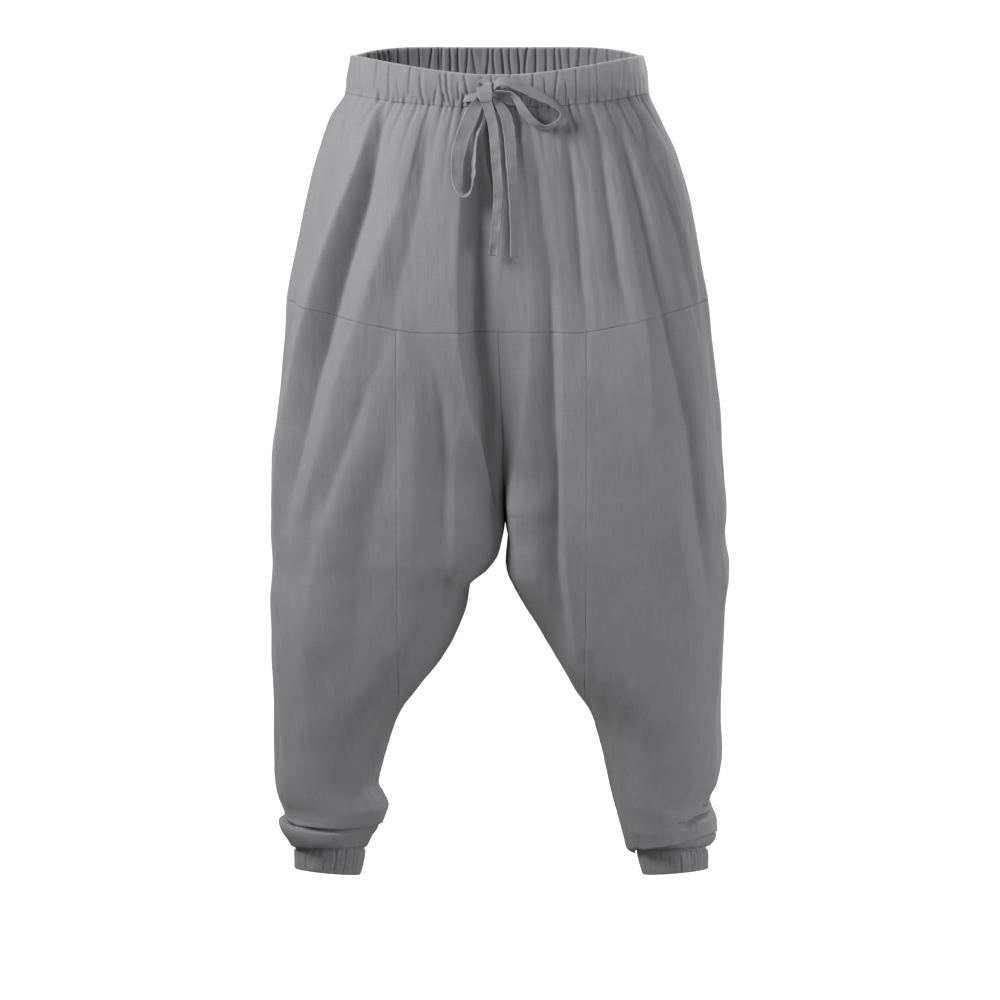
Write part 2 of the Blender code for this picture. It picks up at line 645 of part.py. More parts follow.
def knot():
    """The tape's overhand wrap where the bow is tied."""
    bpy.ops.mesh.primitive_uv_sphere_add(segments=16, ring_count=10, radius=1)
    ball = bpy.context.object
    points = np.array([v.co for v in ball.data.vertices])
    faces = [list(p.vertices) for p in ball.data.polygons]
    bpy.data.objects.remove(ball, do_unlink=True)
    points = np.sign(points) * np.abs(points) ** KNOT_SQUARE
    lump = 1 + KNOT_LUMP * np.sin(5 * points[:, 0] + 3 * points[:, 2])
    points = points * lump[:, None] * KNOT_HALVES + KNOT_MIDDLE
    return finish("knot", points, faces, TAPE_GREY)


def main():
    for obj in list(bpy.data.objects):
        bpy.data.objects.remove(obj, do_unlink=True)
    made = bpy.data.collections.new(COLLECTION)
    bpy.context.scene.collection.children.link(made)
    waistband()
    for face in ("front", "back"):
        yoke(face)
        gusset(face)
        for leg in ("r", "l"):
            leg_panel(leg, face)
    for leg in ("r", "l"):
        cuff(leg)
    for name, points in TAPES.items():
        tape(name, points)
    knot()


main()
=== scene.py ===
"""Harem pants in soft grey cotton, filled out as if worn: a gathered elastic waist with a
tied tape, yokes, a gusset each side of the low crotch, four leg panels and two cuffs.

Lengths in the tables are millimetres. Sides are the wearer's: the wearer's right is at
-X, the front faces -Y and +Z is up. A drop is a distance down the side seam from the
waist, and a run is a distance along a course of the cloth.
"""

import bpy
import numpy as np
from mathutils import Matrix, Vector, noise


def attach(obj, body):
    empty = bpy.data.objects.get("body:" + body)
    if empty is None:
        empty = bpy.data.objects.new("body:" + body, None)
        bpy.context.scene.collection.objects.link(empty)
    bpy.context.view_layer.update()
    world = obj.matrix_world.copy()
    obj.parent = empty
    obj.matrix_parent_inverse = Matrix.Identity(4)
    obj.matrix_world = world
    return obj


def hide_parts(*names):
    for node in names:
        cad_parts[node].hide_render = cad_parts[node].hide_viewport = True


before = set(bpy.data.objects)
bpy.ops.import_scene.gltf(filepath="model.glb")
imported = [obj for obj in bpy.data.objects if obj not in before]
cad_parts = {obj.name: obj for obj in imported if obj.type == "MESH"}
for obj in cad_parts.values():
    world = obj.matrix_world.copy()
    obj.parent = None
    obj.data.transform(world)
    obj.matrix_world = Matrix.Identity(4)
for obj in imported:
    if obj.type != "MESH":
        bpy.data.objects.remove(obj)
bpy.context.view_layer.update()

MM = 0.001
LEGS = ("r", "l")
FACES = ("front", "back")
SIDEWAYS = {"r": -1.0, "l": 1.0}
FORWARD = {"front": -1.0, "back": 1.0}

# ---------------------------------------------------------------- camera, light and table

EYE = (0.003, -4.2, -0.15)
AIM = (0.003, 0.0, -0.488)
LENS = 131.9

# Lamps, in metres: place, target, side of the square and watts
LAMPS = {
    "key": ((-1.15, -0.8, 0.62), (0, -0.05, -0.4), 0.65, 40),
    "low_front": ((0.5, -1.9, -0.8), (0, 0, -0.5), 0.8, 13),
    "side": ((1.7, -0.5, -0.5), (0, 0, -0.5), 0.8, 17),
    "above": ((0.3, 0.02, 0.75), (-0.03, 0.06, 0), 0.25, 8),
    "back": ((1.2, 1.5, 0.9), (0, 0.05, -0.45), 0.6, 44),
    "low_back": ((-0.9, 1.9, -0.6), (0, 0, -0.5), 0.8, 12),
}
STUDIO_GLOW = 0.25

# The round lit table, in metres: its height, the rings of its flat top and its rolled rim
TABLE_Z = -0.985
TABLE_RINGS = (0.5, 1.5, 3.0, 6.4)
RIM_ROUND = 0.8
RIM_TOP = 1.6
RIM_STEPS = 8
TABLE_SIDES = 64


def stand_at(obj, place, target):
    """Puts a camera or lamp in its place, turned to its target."""
    obj.location = place
    obj.rotation_mode = "QUATERNION"
    obj.rotation_quaternion = (Vector(target) - Vector(place)).to_track_quat("-Z", "Y")
    bpy.context.scene.collection.objects.link(obj)


def lit_table():
    """A table with a rolled rim, which glows but whose glow stays off the cloth."""
    edge = TABLE_RINGS[-1]
    profile = [(ring, 0) for ring in TABLE_RINGS]
    for t in np.linspace(0, np.pi / 2, RIM_STEPS + 1)[1:]:
        profile.append((edge + RIM_ROUND * np.sin(t), RIM_ROUND - RIM_ROUND * np.cos(t)))
    profile.append((edge + RIM_ROUND, RIM_TOP))
    turn = np.arange(TABLE_SIDES) * 2 * np.pi / TABLE_SIDES
    verts = [(0, 0, TABLE_Z)]
    for radius, height in profile:
        verts += [(radius * np.cos(t), radius * np.sin(t), TABLE_Z + height) for t in turn]
    faces = []
    for k in range(TABLE_SIDES):
        n = (k + 1) % TABLE_SIDES
        faces.append((0, 1 + k, 1 + n))
        for i in range(len(profile) - 1):
            near, far = 1 + i * TABLE_SIDES, 1 + (i + 1) * TABLE_SIDES
            faces.append((near + k, far + k, far + n, near + n))
    mesh = bpy.data.meshes.new("floor")
    mesh.from_pydata(verts, [], faces)
    mesh.polygons.foreach_set("use_smooth", np.ones(len(mesh.polygons), bool))

    top = bpy.data.materials.new("lit_table")
    top.use_nodes = True
    shader = top.node_tree.nodes["Principled BSDF"]
    shader.inputs["Base Color"].default_value = (0.2, 0.2, 0.2, 1)
    shader.inputs["Roughness"].default_value = 1.0
    shader.inputs["Specular IOR Level"].default_value = 0.0
    shader.inputs["Emission Color"].default_value = (1, 1, 1, 1)
    shader.inputs["Emission Strength"].default_value = 1.0
    mesh.materials.append(top)

    table = bpy.data.objects.new("floor", mesh)
    bpy.context.scene.collection.objects.link(table)
    shines_on(table, "lit_by_table", table)
    return table


def shines_on(source, name, lit):
    """Keeps the light of a lamp or a glowing object to one object alone."""
    receivers = bpy.data.collections.new(name)
    receivers.objects.link(lit)
    source.light_linking.receiver_collection = receivers


camera = bpy.data.objects.new("camera", bpy.data.cameras.new("camera"))
camera.data.lens = LENS
camera.data.sensor_width = 36
stand_at(camera, EYE, AIM)
bpy.context.scene.camera = camera
bpy.context.scene.view_settings.view_transform = "Standard"

for name, (place, target, side, watts) in LAMPS.items():
    lamp = bpy.data.lights.new(name, "AREA")
    lamp.size = side
    lamp.energy = watts
    stand_at(bpy.data.objects.new(name, lamp), place, target)

world = bpy.data.worlds.new("studio")
world.use_nodes = True
world.node_tree.nodes["Background"].inputs["Color"].default_value = (1, 1, 1, 1)
world.node_tree.nodes["Background"].inputs["Strength"].default_value = STUDIO_GLOW
bpy.context.scene.world = world

lit_table()

# ---------------------------------------------------------------- sizes of the garment

BAND_TOP = -19.0
BAND_FOOT = 23.0
YOKE_FOOT = 255.0
CROTCH = 505.0
GUSSET_FORK = 700.0
GUSSET_TIP = 775.0
ANKLE = 893.0
GUSSET_SEAM_X = {"r": -112.0, "l": 99.0}
CLOTH_THICK = 1.1
BAND_THICK = 3.4
TAPE_WIDE = 12.0

# Sections of the body and legs, one row for each drop: depths of front and back at the
# middle of the leg, then at the centre or inseam, heights of the same four, and how far
# the section closes to a tube round each leg
BODY_COLUMNS = (
    "drop front_y back_y centre_front_y centre_back_y "
    "front_z back_z centre_front_z centre_back_z closed"
).split()
BODY_ROWS = [
    (-19, -103, 108, -103, 108, -6, 33, -6, 33, 0),
    (0, -106, 111, -106, 111, -23, 15, -23, 15, 0),
    (23, -107, 112, -107, 112, -41, -6, -41, -6, 0),
    (48, -117, 124, -117, 124, -70, -34, -70, -34, 0),
    (76, -124, 137, -124, 136, -104, -66, -104, -66, 0),
    (121, -133, 152, -131, 148, -152, -118, -152, -118, 0),
    (173, -141, 163, -136, 155, -206, -180, -206, -180, 0),
    (215, -145, 167, -137, 155, -250, -232, -250, -232, 0),
    (255, -147, 168, -135, 150, -291, -285, -291, -285, 0.05),
    (300, -148, 167, -129, 142, -335, -335, -335, -335, 0.15),
    (345, -147, 164, -118, 130, -378, -384, -378, -384, 0.3),
    (390, -146, 160, -103, 112, -419, -428, -418, -429, 0.45),
    (430, -144, 156, -85, 92, -454, -464, -452, -464, 0.6),
    (465, -142, 152, -62, 70, -485, -494, -478, -491, 0.8),
    (490, -140, 149, -36, 52, -507, -514, -495, -506, 0.95),
    (505, -139, 147, 20, 20, -520, -526, -511, -511, 1),
    (522, -137, 145, 23, 23, -535, -540, -528, -528, 1),
    (540, -135, 143, 24, 24, -551, -555, -544, -544, 1),
    (558, -132, 140, 24, 24, -567, -570, -561, -561, 1),
    (578, -129, 137, 22, 22, -585, -587, -580, -580, 1),
    (604, -125, 133, 20, 20, -609, -610, -605, -605, 1),
    (638, -120, 128, 17, 17, -641, -641, -638, -638, 1),
    (665, -115, 123, 14, 14, -666, -666, -665, -665, 1),
]
# ... and lower still, where the courses of a leg are level
BODY_ROWS += [(drop, *depths, *[-drop] * 4, 1) for drop, *depths in (
    (700, -108, 114, 10, 10), (737, -99, 104, 7, 7), (778, -89, 94, 4, 4), (813, -82, 86, 3, 3),
    (832, -79, 82, 2, 2), (846, -77.5, 80, 2, 2), (857, -76, 78, 2, 2), (868, -75, 76, 2, 2),
    (880, -73, 74, 2, 2), (893, -67, 68, 2, 2),
)]
BODY = np.array(BODY_ROWS, float)

# Breadths, one row for each drop: the side seam, the centre or inseam, and the middle of the leg
BREADTH_COLUMNS = "drop outer_x inner_x apex_x".split()
BREADTH = {
    "r": np.array([
        (-19, -167, 0, -15), (0, -170, 0, -15), (23, -174, 0, -15), (48, -189, 0, -20),
        (76, -200, 0, -28), (121, -213, 0, -42), (173, -224, 0, -60), (215, -233, 0, -74),
        (255, -240, 1, -86), (300, -242, 3, -97), (345, -246, 5, -107), (390, -251, 7, -115),
        (430, -257, 8, -121), (465, -259, 9, -125), (490, -260, 9, -128), (505, -260, 9, -129),
        (522, -260, 6, -130), (540, -259, 2, -132), (558, -258, -10, -136), (578, -259, -31, -143),
        (604, -261, -35, -147), (638, -260, -47, -153), (665, -260, -62, -161),
        (700, -259, -88, -173), (737, -258, -114, -186), (778, -258, -128, -193),
        (801, -258, -134, -196), (819, -256, -135.5, -195), (831, -253, -130.5, -191),
        (842, -248, -126, -187), (849, -245.5, -127.5, -188), (857.5, -253, -132, -192),
        (868, -251, -138, -194),
        (880, -244, -146, -195), (893, -237, -152, -194),
    ], float),
    "l": np.array([
        (-19, 167, 0, 15), (0, 170, 0, 15), (23, 173, 0, 15), (48, 184, 0, 20),
        (76, 197, 0, 28), (121, 213, 0, 42), (173, 226, 0, 60), (215, 233, 0, 74),
        (255, 240, 1, 86), (300, 244, 3, 98), (345, 250, 5, 109), (390, 255, 7, 118),
        (430, 258, 8, 125), (465, 261, 9, 130), (490, 263, 9, 134), (505, 263, 9, 136),
        (522, 261.5, 12, 137), (540, 263, 11, 138), (558, 266, 10, 139), (578, 266, 17, 142),
        (604, 263, 31, 147), (638, 261, 51, 156), (665, 260, 66, 163),
        (700, 259, 86, 172), (737, 258, 109, 183), (778, 260, 121, 190),
        (813, 255, 129, 192), (834, 245.5, 134, 190), (846, 250.5, 137, 194),
        (857, 253.5, 140, 196), (868, 254.5, 143, 198), (880, 252.5, 147, 199),
        (893, 243, 152, 198),
    ], float),
}
# How square the sections of the legs are below the crotch's height: 1 is the oval
SQUARE_DROPS = (300, 400, 480, 580, 680, 760)
SQUARE = (1.0, 0.76, 0.58, 0.6, 0.7, 1.0)
# How far the worn cloth fills out beyond a plain oval: 1 is the oval
FULL_DROPS = (23, 90, 400, 640, 800)
FULL = {"front": (1, 0.74, 0.72, 0.74, 1), "back": (1, 0.88, 0.88, 0.9, 1)}
# How late a course rises or falls on its way to the side seam
BOW_DROPS = (-19, 23, 150)
BOW = {"front": (1.5, 2.2, 1.0), "back": (5.0, 2.6, 1.0)}
# How much a leg's foot leans forward, and how much lower its inseam ends there
ANKLE_TILT = ((866, 0), (893, 0.14))
LOW_INSEAM = {"r": 0, "l": 6}
# Below the crotch the front and back go on as above it, and turn in to the inseam late
INSEAM_DROPS = (490, 494, 498, 502, 505, 508, 512, 518, 530, 560, 640, 700)
INSEAM_TURN = {
    "front": (-38, -33.3, -29, -26.2, -25, -26.4, -30.6, -37, -40, -32, 0, 10),
    "back": (52, 48.5, 45, 41.6, 39, 41.3, 44.4, 49, 48, 42, 22, 10),
}
# Points on half of each half section
DENSE = 181

# How fine the meshes are
STEP = 2.0
DOWN = 4.0
CREASE_STEP = 1.4
LEG_COLUMNS = 130
GUSSET_COLUMNS = 74
BAND_STEP = 0.9
CUFF_COLUMNS = 440
# Distances of the finer steps beside a sewn edge
SEWN_EDGE = np.array([0, 0.7, 1.4, 2.2, 3.2, 4.6, 6.4])
# Finer courses: how far above and below the crotch they reach and their step there, and
# how far from the middle of the ankle's creases
CROTCH_ABOVE = 8
CROTCH_BELOW = 7
CROTCH_STEP = 1.5
CREASED_REACH = 34
# Drop of the course that sets the yoke's columns, width under which a gusset's tip is
# even, and girth at which the leg panels' threads run straight
YOKE_MIDDLE = 140
GUSSET_NARROW = 16
LEG_THREADS = 300.0
# Metres within which points are one: along the middle of a gusset, and on a closed piece
GUSSET_MEETS = 0.00005
CLOSED_MEETS = 0.00002

# ---------------------------------------------------------------- folds

# One fold: face, legs, how its crest's flank and its other flank curve (1 is a flat facet)
# and how round its valley is, then points along it as (x, z, depth of the valley, height
# of the crest on the -X side of it, how far off that crest is, reach of the other flank).
FOLDS = (
    # the wearer's right, in front
    ("front", "r", 1.05, 1.3, 1.5, (
        (-127, -34, 0, 0, 4, 30), (-131, -67, 7, 3, 13, 32), (-145.6, -144, 13, 12, 22, 36),
        (-158, -183, 14, 14, 24, 36), (-170, -222, 15, 15, 26, 34), (-195.5, -311, 15, 14, 27, 30),
        (-208, -355, 13, 12, 26, 30), (-219, -399, 12, 12, 26, 30), (-229, -455, 8, 8, 24, 28),
        (-238, -520, 0, 0, 24, 30))),
    ("front", "r", 1.15, 1.5, 2.5, (
        (-74, -48, 0, 0, 4, 20), (-77, -67, 3, 1, 6, 20), (-86, -144, 5, 2, 21, 26),
        (-104.6, -222, 5, 4, 30, 30), (-112, -262, 3.2, 2.6, 34, 30), (-127, -311, 2.2, 2.4, 38, 26),
        (-145, -355, 3.5, 4, 36, 24), (-161, -399, 4.5, 4.5, 28, 24), (-185, -463, 4, 4, 26, 24),
        (-200, -510, 0, 0, 24, 24))),
    ("front", "r", 1.05, 1.2, 2.0, (
        (-78, -300, 0, 0, 20, 10), (-72, -330, 2, 1, 24, 10), (-62, -360, 4, 2, 28, 10),
        (-58, -399, 7, 4, 34, 10), (-58, -455, 7, 4, 36, 10), (-59, -499, 6, 4, 36, 10),
        (-60, -560, 4, 3, 36, 12), (-62, -620, 2, 1, 36, 14), (-66, -680, 0, 0, 36, 16))),
    ("front", "r", 1.3, 1.6, 8.0, (
        (-95, -330, 0, 0, 30, 30), (-111, -399, 3, 2, 34, 30), (-142, -499, 5, 5, 40, 40),
        (-150, -560, 5, 5, 50, 50), (-155, -610, 4, 5, 55, 60), (-165, -700, 0, 0, 50, 60))),
    ("front", "r", 1.2, 1.2, 3.0, (
        (-205, -440, 0, 0, 24, 36), (-207, -480, 4, 1, 24, 36), (-210, -530, 4.5, 1, 24, 36),
        (-213, -570, 3, 0, 24, 36), (-216, -620, 0, 0, 24, 36))),
    ("front", "r", 1.2, 1.2, 3.0, (
        (-168, -44, 0, 0, 8, 20), (-172, -60, 3, 1, 14, 20), (-178, -89, 3.5, 1.5, 18, 22),
        (-190, -144, 3.5, 1.5, 20, 24), (-205, -190, 2, 1, 20, 24), (-216, -240, 0, 0, 20, 24))),
    # over the middle: a deep step, and the cloth that stays behind it
    ("front", "rl", 1.0, 1.2, 1.5, (
        (-16, -56, 0, 0, 16, 12), (-15, -100, 7, 2, 22, 16), (-15, -144, 12, 3, 26, 18),
        (-19, -222, 12, 7, 25, 20), (-22, -300, 10.5, 14, 23, 20), (-19, -333, 9.5, 15.5, 22, 18),
        (-14, -366, 10, 16, 22, 16), (-12, -399, 11, 16, 19, 12), (-8, -432, 9, 12, 14, 10),
        (-3, -466, 5, 5, 11, 10), (0, -492, 0, 0, 9, 10))),
    ("front", "rl", 1.1, 1.0, 3.0, (
        (-15, -100, 0, 0, 22, 150), (-14, -144, 5, 0, 28, 160), (-17, -222, 7, 0, 32, 170),
        (-20, -300, 6, 0, 28, 170), (-17, -345, 3, 0, 28, 150), (-10, -399, 0, 0, 26, 140))),
    ("front", "l", 1.2, 1.2, 22.0, (
        (88, -50, 2, 0, 78, 110), (90, -90, 7, 0, 80, 115), (92, -144, 11, 0, 82, 120),
        (95, -222, 11, 0, 84, 125), (100, -290, 6, 0, 84, 120), (104, -360, 0, 0, 84, 110))),
    # the wearer's left, in front
    ("front", "l", 1.2, 1.1, 1.5, (
        (37, -60, 0, 0, 8, 6), (41, -90, 3, 0, 9, 7), (48, -144, 4.5, 0, 12, 9),
        (58, -222, 5.5, 1, 20, 11), (60, -311, 9, 2, 24, 11), (61, -399, 14, 4.5, 34, 10),
        (61, -450, 18, 12, 42, 9), (62, -480, 19.5, 14, 45, 9), (63, -499, 20, 11, 46, 9),
        (64, -520, 19, 8, 46, 9), (66, -560, 16, 6, 46, 10),
        (72, -611, 9, 1, 42, 12), (80, -670, 0, 0, 36, 14))),
    ("front", "l", 1.4, 1.1, 1.5, (
        (74, -44, 0, 0, 8, 6), (81, -90, 3.6, 0.5, 11, 6), (88, -144, 4.5, 0.5, 14, 7),
        (94, -222, 4.5, 0.5, 16, 8), (98, -270, 2.5, 0, 16, 9), (100, -311, 0, 0, 16, 10))),
    ("front", "l", 1.2, 1.1, 1.5, (
        (108, -42, 0, 0, 8, 6), (118, -90, 4.5, 0.5, 13, 6), (126, -144, 6, 1, 18, 8),
        (137, -222, 6, 1, 22, 8), (145, -270, 3.5, 0, 22, 9), (150, -305, 0, 0, 20, 10))),
    ("front", "l", 1.0, 1.2, 1.5, (
        (134, -42, 0, 0, 8, 6), (147, -90, 5, 0.5, 14, 7), (162, -144, 8, 2, 20, 8),
        (170, -183, 8, 3, 22, 9), (177, -222, 8, 4, 22, 12), (187, -270, 8, 5, 24, 20),
        (196, -311, 9, 7, 30, 24), (207, -360, 9, 8, 40, 20), (216, -399, 9, 8, 46, 16),
        (222, -450, 9, 8, 42, 14), (227, -499, 8, 7, 34, 13), (236, -560, 5, 4, 30, 14),
        (243, -610, 0, 0, 30, 14))),
    ("front", "l", 1.2, 1.2, 1.5, (
        (160, -44, 0, 0, 8, 6), (174, -92, 4, 0, 14, 7), (193, -144, 5.5, 1, 20, 8),
        (206, -188, 5.5, 1, 22, 9), (218, -244, 3, 0, 24, 12), (228, -300, 0, 0, 22, 12))),
    # the wearer's right, at the back
    ("back", "r", 1.3, 1.1, 2.0, (
        (-36, -20, 0, 0, 30, 5), (-44, -60, 5, 2.5, 32, 12), (-54, -110, 10, 5, 36, 20),
        (-72, -190, 13, 6.5, 38, 24), (-104, -290, 12, 6, 38, 26), (-140, -370, 9, 4.5, 34, 26),
        (-176, -450, 0, 0, 32, 24))),
    ("back", "r", 1.2, 1.1, 1.5, (
        (-96, -20, 0, 0, 12, 5), (-112, -70, 5, 2.5, 18, 12), (-140, -150, 8, 4, 24, 20),
        (-178, -250, 9, 4.5, 26, 24), (-204, -330, 7, 3.5, 24, 24), (-222, -420, 0, 0, 20, 20))),
    ("back", "rl", 1.2, 1.1, 2.0, (
        (-6, -30, 0, 0, 16, 8), (-8, -80, 7, 3.5, 20, 18), (-12, -160, 12, 6, 24, 28),
        (-18, -260, 15, 7.5, 26, 32), (-20, -350, 15, 7.5, 24, 30), (-12, -430, 11, 5.5, 18, 24),
        (-6, -492, 0, 0, 12, 16))),
    ("back", "r", 1.4, 1.2, 5.0, (
        (-78, -390, 0, 0, 26, 20), (-84, -460, 7, 3.5, 30, 26), (-98, -550, 10, 5, 34, 32),
        (-128, -650, 8, 4, 34, 32), (-168, -750, 0, 0, 30, 26))),
    ("back", "r", 1.5, 1.3, 6.0, (
        (-190, -480, 0, 0, 24, 20), (-208, -560, 6, 3, 28, 24), (-222, -660, 5, 2.5, 26, 24),
        (-232, -750, 0, 0, 20, 20))),
    # the wearer's left, at the back
    ("back", "l", 1.3, 1.05, 1.5, (
        (34, -20, 0, 0, 14, 5), (44, -70, 5, 2.5, 20, 12), (60, -150, 9, 4.5, 26, 20),
        (88, -250, 11, 5.5, 28, 26), (124, -350, 8, 4, 28, 28), (166, -440, 0, 0, 24, 26))),
    ("back", "l", 1.3, 1.05, 1.5, (
        (88, -20, 0, 0, 10, 5), (108, -74, 6, 3, 14, 14), (134, -150, 10, 5, 20, 22),
        (168, -250, 10, 5, 24, 26), (198, -340, 6, 3, 24, 26), (220, -420, 0, 0, 20, 22))),
    ("back", "l", 1.3, 1.05, 1.5, (
        (142, -20, 0, 0, 8, 5), (164, -80, 6, 3, 12, 12), (188, -150, 7, 3.5, 18, 18),
        (212, -240, 4, 2, 20, 18), (226, -310, 0, 0, 16, 16))),
    ("back", "l", 1.4, 1.2, 4.0, (
        (70, -390, 0, 0, 22, 20), (82, -460, 7, 3.5, 30, 26), (98, -550, 10, 5, 34, 32),
        (126, -650, 8, 4, 34, 32), (166, -750, 0, 0, 30, 26))),
    ("back", "l", 1.4, 1.3, 3.0, (
        (184, -430, 0, 0, 24, 20), (204, -510, 7, 3.5, 28, 26), (220, -610, 7, 3.5, 26, 26),
        (232, -710, 0, 0, 20, 20))),
)

# Long soft folds of the sides: leg, face, half-width, then (drop, distance from the side
# seam, depth) down each
SIDE_FOLDS = (
    ("r", "front", 12, ((50, 30, 0), (140, 34, 3.5), (260, 40, 5.5), (400, 36, 4), (520, 30, 0))),
    ("r", "front", 15, ((430, 56, 0), (540, 48, 5), (660, 42, 5.5), (770, 36, 3.5), (820, 32, 0))),
    ("r", "back", 14, ((40, 26, 0), (130, 36, 5.5), (280, 48, 7), (430, 46, 5), (560, 40, 0))),
    ("r", "back", 15, ((360, 20, 0), (500, 26, 5.5), (640, 32, 6.5), (760, 36, 3.5), (820, 38, 0))),
    ("r", "back", 12, ((200, 92, 0), (330, 88, 5), (470, 82, 6), (600, 76, 0))),
    ("l", "front", 13, ((80, 26, 0), (180, 32, 4), (300, 36, 5.5), (430, 34, 3.5), (550, 28, 0))),
    ("l", "front", 14, ((400, 50, 0), (520, 44, 4), (650, 40, 6), (760, 32, 3.5), (815, 30, 0))),
    ("l", "back", 14, ((60, 34, 0), (170, 42, 6), (300, 50, 7), (420, 52, 4), (540, 50, 0))),
    ("l", "back", 13, ((330, 24, 0), (460, 30, 6), (620, 34, 6.5), (740, 30, 4), (815, 28, 0))),
    ("l", "back", 12, ((240, 100, 0), (380, 92, 5.5), (520, 84, 5.5), (640, 76, 0))),
)

# Gathers under the band: x on the band's seam, depth, half-width, how far down they run
GATHERS = {
    "front": (
        (-168, 2.2, 3.0, 90), (-154, 1.6, 2.4, 60), (-134, 2.6, 3.0, 110), (-116, 2.2, 2.6, 70),
        (-104, 2.8, 2.6, 85), (-89, 2.4, 2.4, 100), (-75, 2.8, 2.6, 120), (-61, 2.2, 2.2, 70),
        (-48, 2.8, 2.6, 100), (-38, 2.0, 2.2, 60), (-17, 2.6, 2.6, 80), (0, 2.2, 2.4, 90),
        (21, 3.0, 2.6, 110), (34, 2.0, 2.2, 55), (45, 2.6, 2.4, 85), (58, 2.4, 2.4, 100),
        (67, 2.0, 2.0, 60), (80, 3.0, 2.6, 115), (90, 2.2, 2.2, 70), (103, 3.0, 2.6, 120),
        (120, 2.4, 2.4, 80), (135, 3.0, 2.6, 120), (147, 2.2, 2.4, 80), (161, 2.6, 2.8, 100),
    ),
    "back": (
        (-166, 2.4, 3.0, 100), (-150, 2.0, 2.4, 60), (-137, 2.8, 2.6, 110), (-121, 2.2, 2.4, 80),
        (-109, 2.8, 2.6, 120), (-97, 2.0, 2.2, 60), (-84, 3.0, 2.6, 105), (-70, 2.4, 2.4, 85),
        (-58, 2.8, 2.6, 125), (-43, 2.2, 2.2, 70), (-31, 3.0, 2.6, 110), (-16, 2.4, 2.4, 80),
        (-3, 2.8, 2.6, 120), (12, 2.2, 2.2, 65), (25, 3.0, 2.6, 115), (39, 2.4, 2.4, 90),
        (50, 2.8, 2.4, 75), (66, 3.0, 2.6, 120), (79, 2.0, 2.2, 60), (92, 2.8, 2.6, 110),
        (107, 2.4, 2.4, 80), (118, 2.8, 2.6, 120), (133, 2.2, 2.4, 70), (146, 2.8, 2.6, 100),
        (162, 2.4, 2.8, 90),
    ),
}
LONGEST_GATHER = 130
# ... and the short pulls between them, in each quarter of the band
SHORT_PULLS = 23
SHORTEST_PULL = 5

# Ruching of the casing: x, depth, half-width, lean over the band's height, and the drops
# between which the crease shows, where it doesn't cross the whole band
BAND_CREASES = {
    "front": (
        (-165, 2.0, 2.6, 3), (-154, 2.4, 2.0, 2, -14, 23), (-137, 1.8, 1.8, -3, -19, 12),
        (-121, 2.6, 2.0, -4, -16, 23), (-110, 1.4, 1.6, 2, 0, 23), (-97, 1.8, 1.8, -2, -19, 10),
        (-84, 2.6, 2.0, 2, -12, 23), (-68, 1.6, 1.6, -3, 2, 23), (-60, 2.8, 1.9, 8, -16, 20),
        (-54, 2.6, 1.8, 7, -17, 23), (-44, 1.8, 1.6, 3, -8, 14), (-33, 2.6, 1.8, 6, -16, 8),
        (-17, 2.2, 1.8, 4, -12, 18), (-6, 1.8, 1.6, 2, -19, 4), (4, 2.4, 1.8, -2, -10, 23),
        (16, 2.0, 1.6, 3, -19, 12), (28, 2.2, 1.8, -3, -4, 23), (38, 2.6, 1.8, -2, -17, 20),
        (54, 2.2, 1.8, 2, -10, 23), (65, 2.4, 1.8, -2, -19, 16), (75, 1.8, 1.6, 1, -4, 23),
        (87, 1.7, 1.8, -3, -15, 23), (103, 1.1, 1.8, 2, -10, 20), (111, 1.2, 1.8, -2),
        (128, 0.9, 1.8, 3, -12, 23), (141, 0.8, 2.0, -3, -17, 14), (154, 0.9, 2.2, 2, -10, 23),
        (166, 0.8, 2.4, -3),
    ),
    "back": (
        (-164, 2.2, 2.4, 3), (-152, 2.6, 2.0, -2, -19, 20), (-139, 2.8, 1.9, 1),
        (-133, 2.4, 1.8, 2), (-127, 2.8, 1.8, 1), (-116, 2.6, 1.9, 2), (-104, 2.8, 1.9, 3),
        (-93, 2.4, 1.8, 2, -19, 20), (-80, 2.6, 1.8, -2), (-70, 2.8, 1.9, -3),
        (-65, 2.2, 1.7, -2, -19, 16), (-56, 2.6, 1.8, 2), (-46, 2.8, 1.9, -1), (-36, 2.6, 1.8, 1),
        (-27, 2.4, 1.8, 3), (-12, 2.8, 1.9, -2), (-3, 2.6, 1.8, 3), (6, 2.8, 1.8, 2),
        (16, 2.6, 1.9, 3), (25, 2.4, 1.8, 2), (34, 2.8, 1.9, -1), (45, 2.6, 1.8, 2),
        (57, 2.4, 1.8, 1), (68, 2.8, 1.9, -2), (75, 2.4, 1.7, 2, -19, 20), (86, 2.6, 1.8, 1),
        (95, 2.8, 1.9, -2), (107, 2.6, 1.8, -3), (117, 2.4, 1.8, -3), (131, 2.6, 1.9, 2),
        (145, 2.4, 2.0, -2), (160, 2.2, 2.2, 2),
    ),
}
BAND_HIGH = BAND_FOOT - BAND_TOP
BAND_MIDDLE = 2
BAND_SWELL = 0.9
# Courses of the casing: drops up its outside, then (drop, lift, inside) over its fold,
# then drops down its inside
BAND_OUTSIDE = (23, 22, 21, 19.5, 17, 15, 13, 10.5, 8, 5.5, 2, -2, -6, -10, -13, -16, -18)
BAND_FOLD = [(-19.6, -0.5, False), (-20.2, -1.4, False), (-20.2, -2.4, True), (-19.6, -3.3, True)]
BAND_INSIDE = (-18, -15, -10, -4, 2, 8, 13, 17, 20, 23)
# Drops between which the casing is sewn, and from which the yoke's gathers shape it
BAND_SEWN = (17, 21.6)
BAND_GATHERED = 11
# Where the tape comes out of the casing: x, and the drops of the slot's two ends; and a
# slot's depth and half-width
SLOTS = ((-37.5, 6, 19), (19, 8, 21))
SLOT_DEEP = 2.8
SLOT_HALF = 2.0
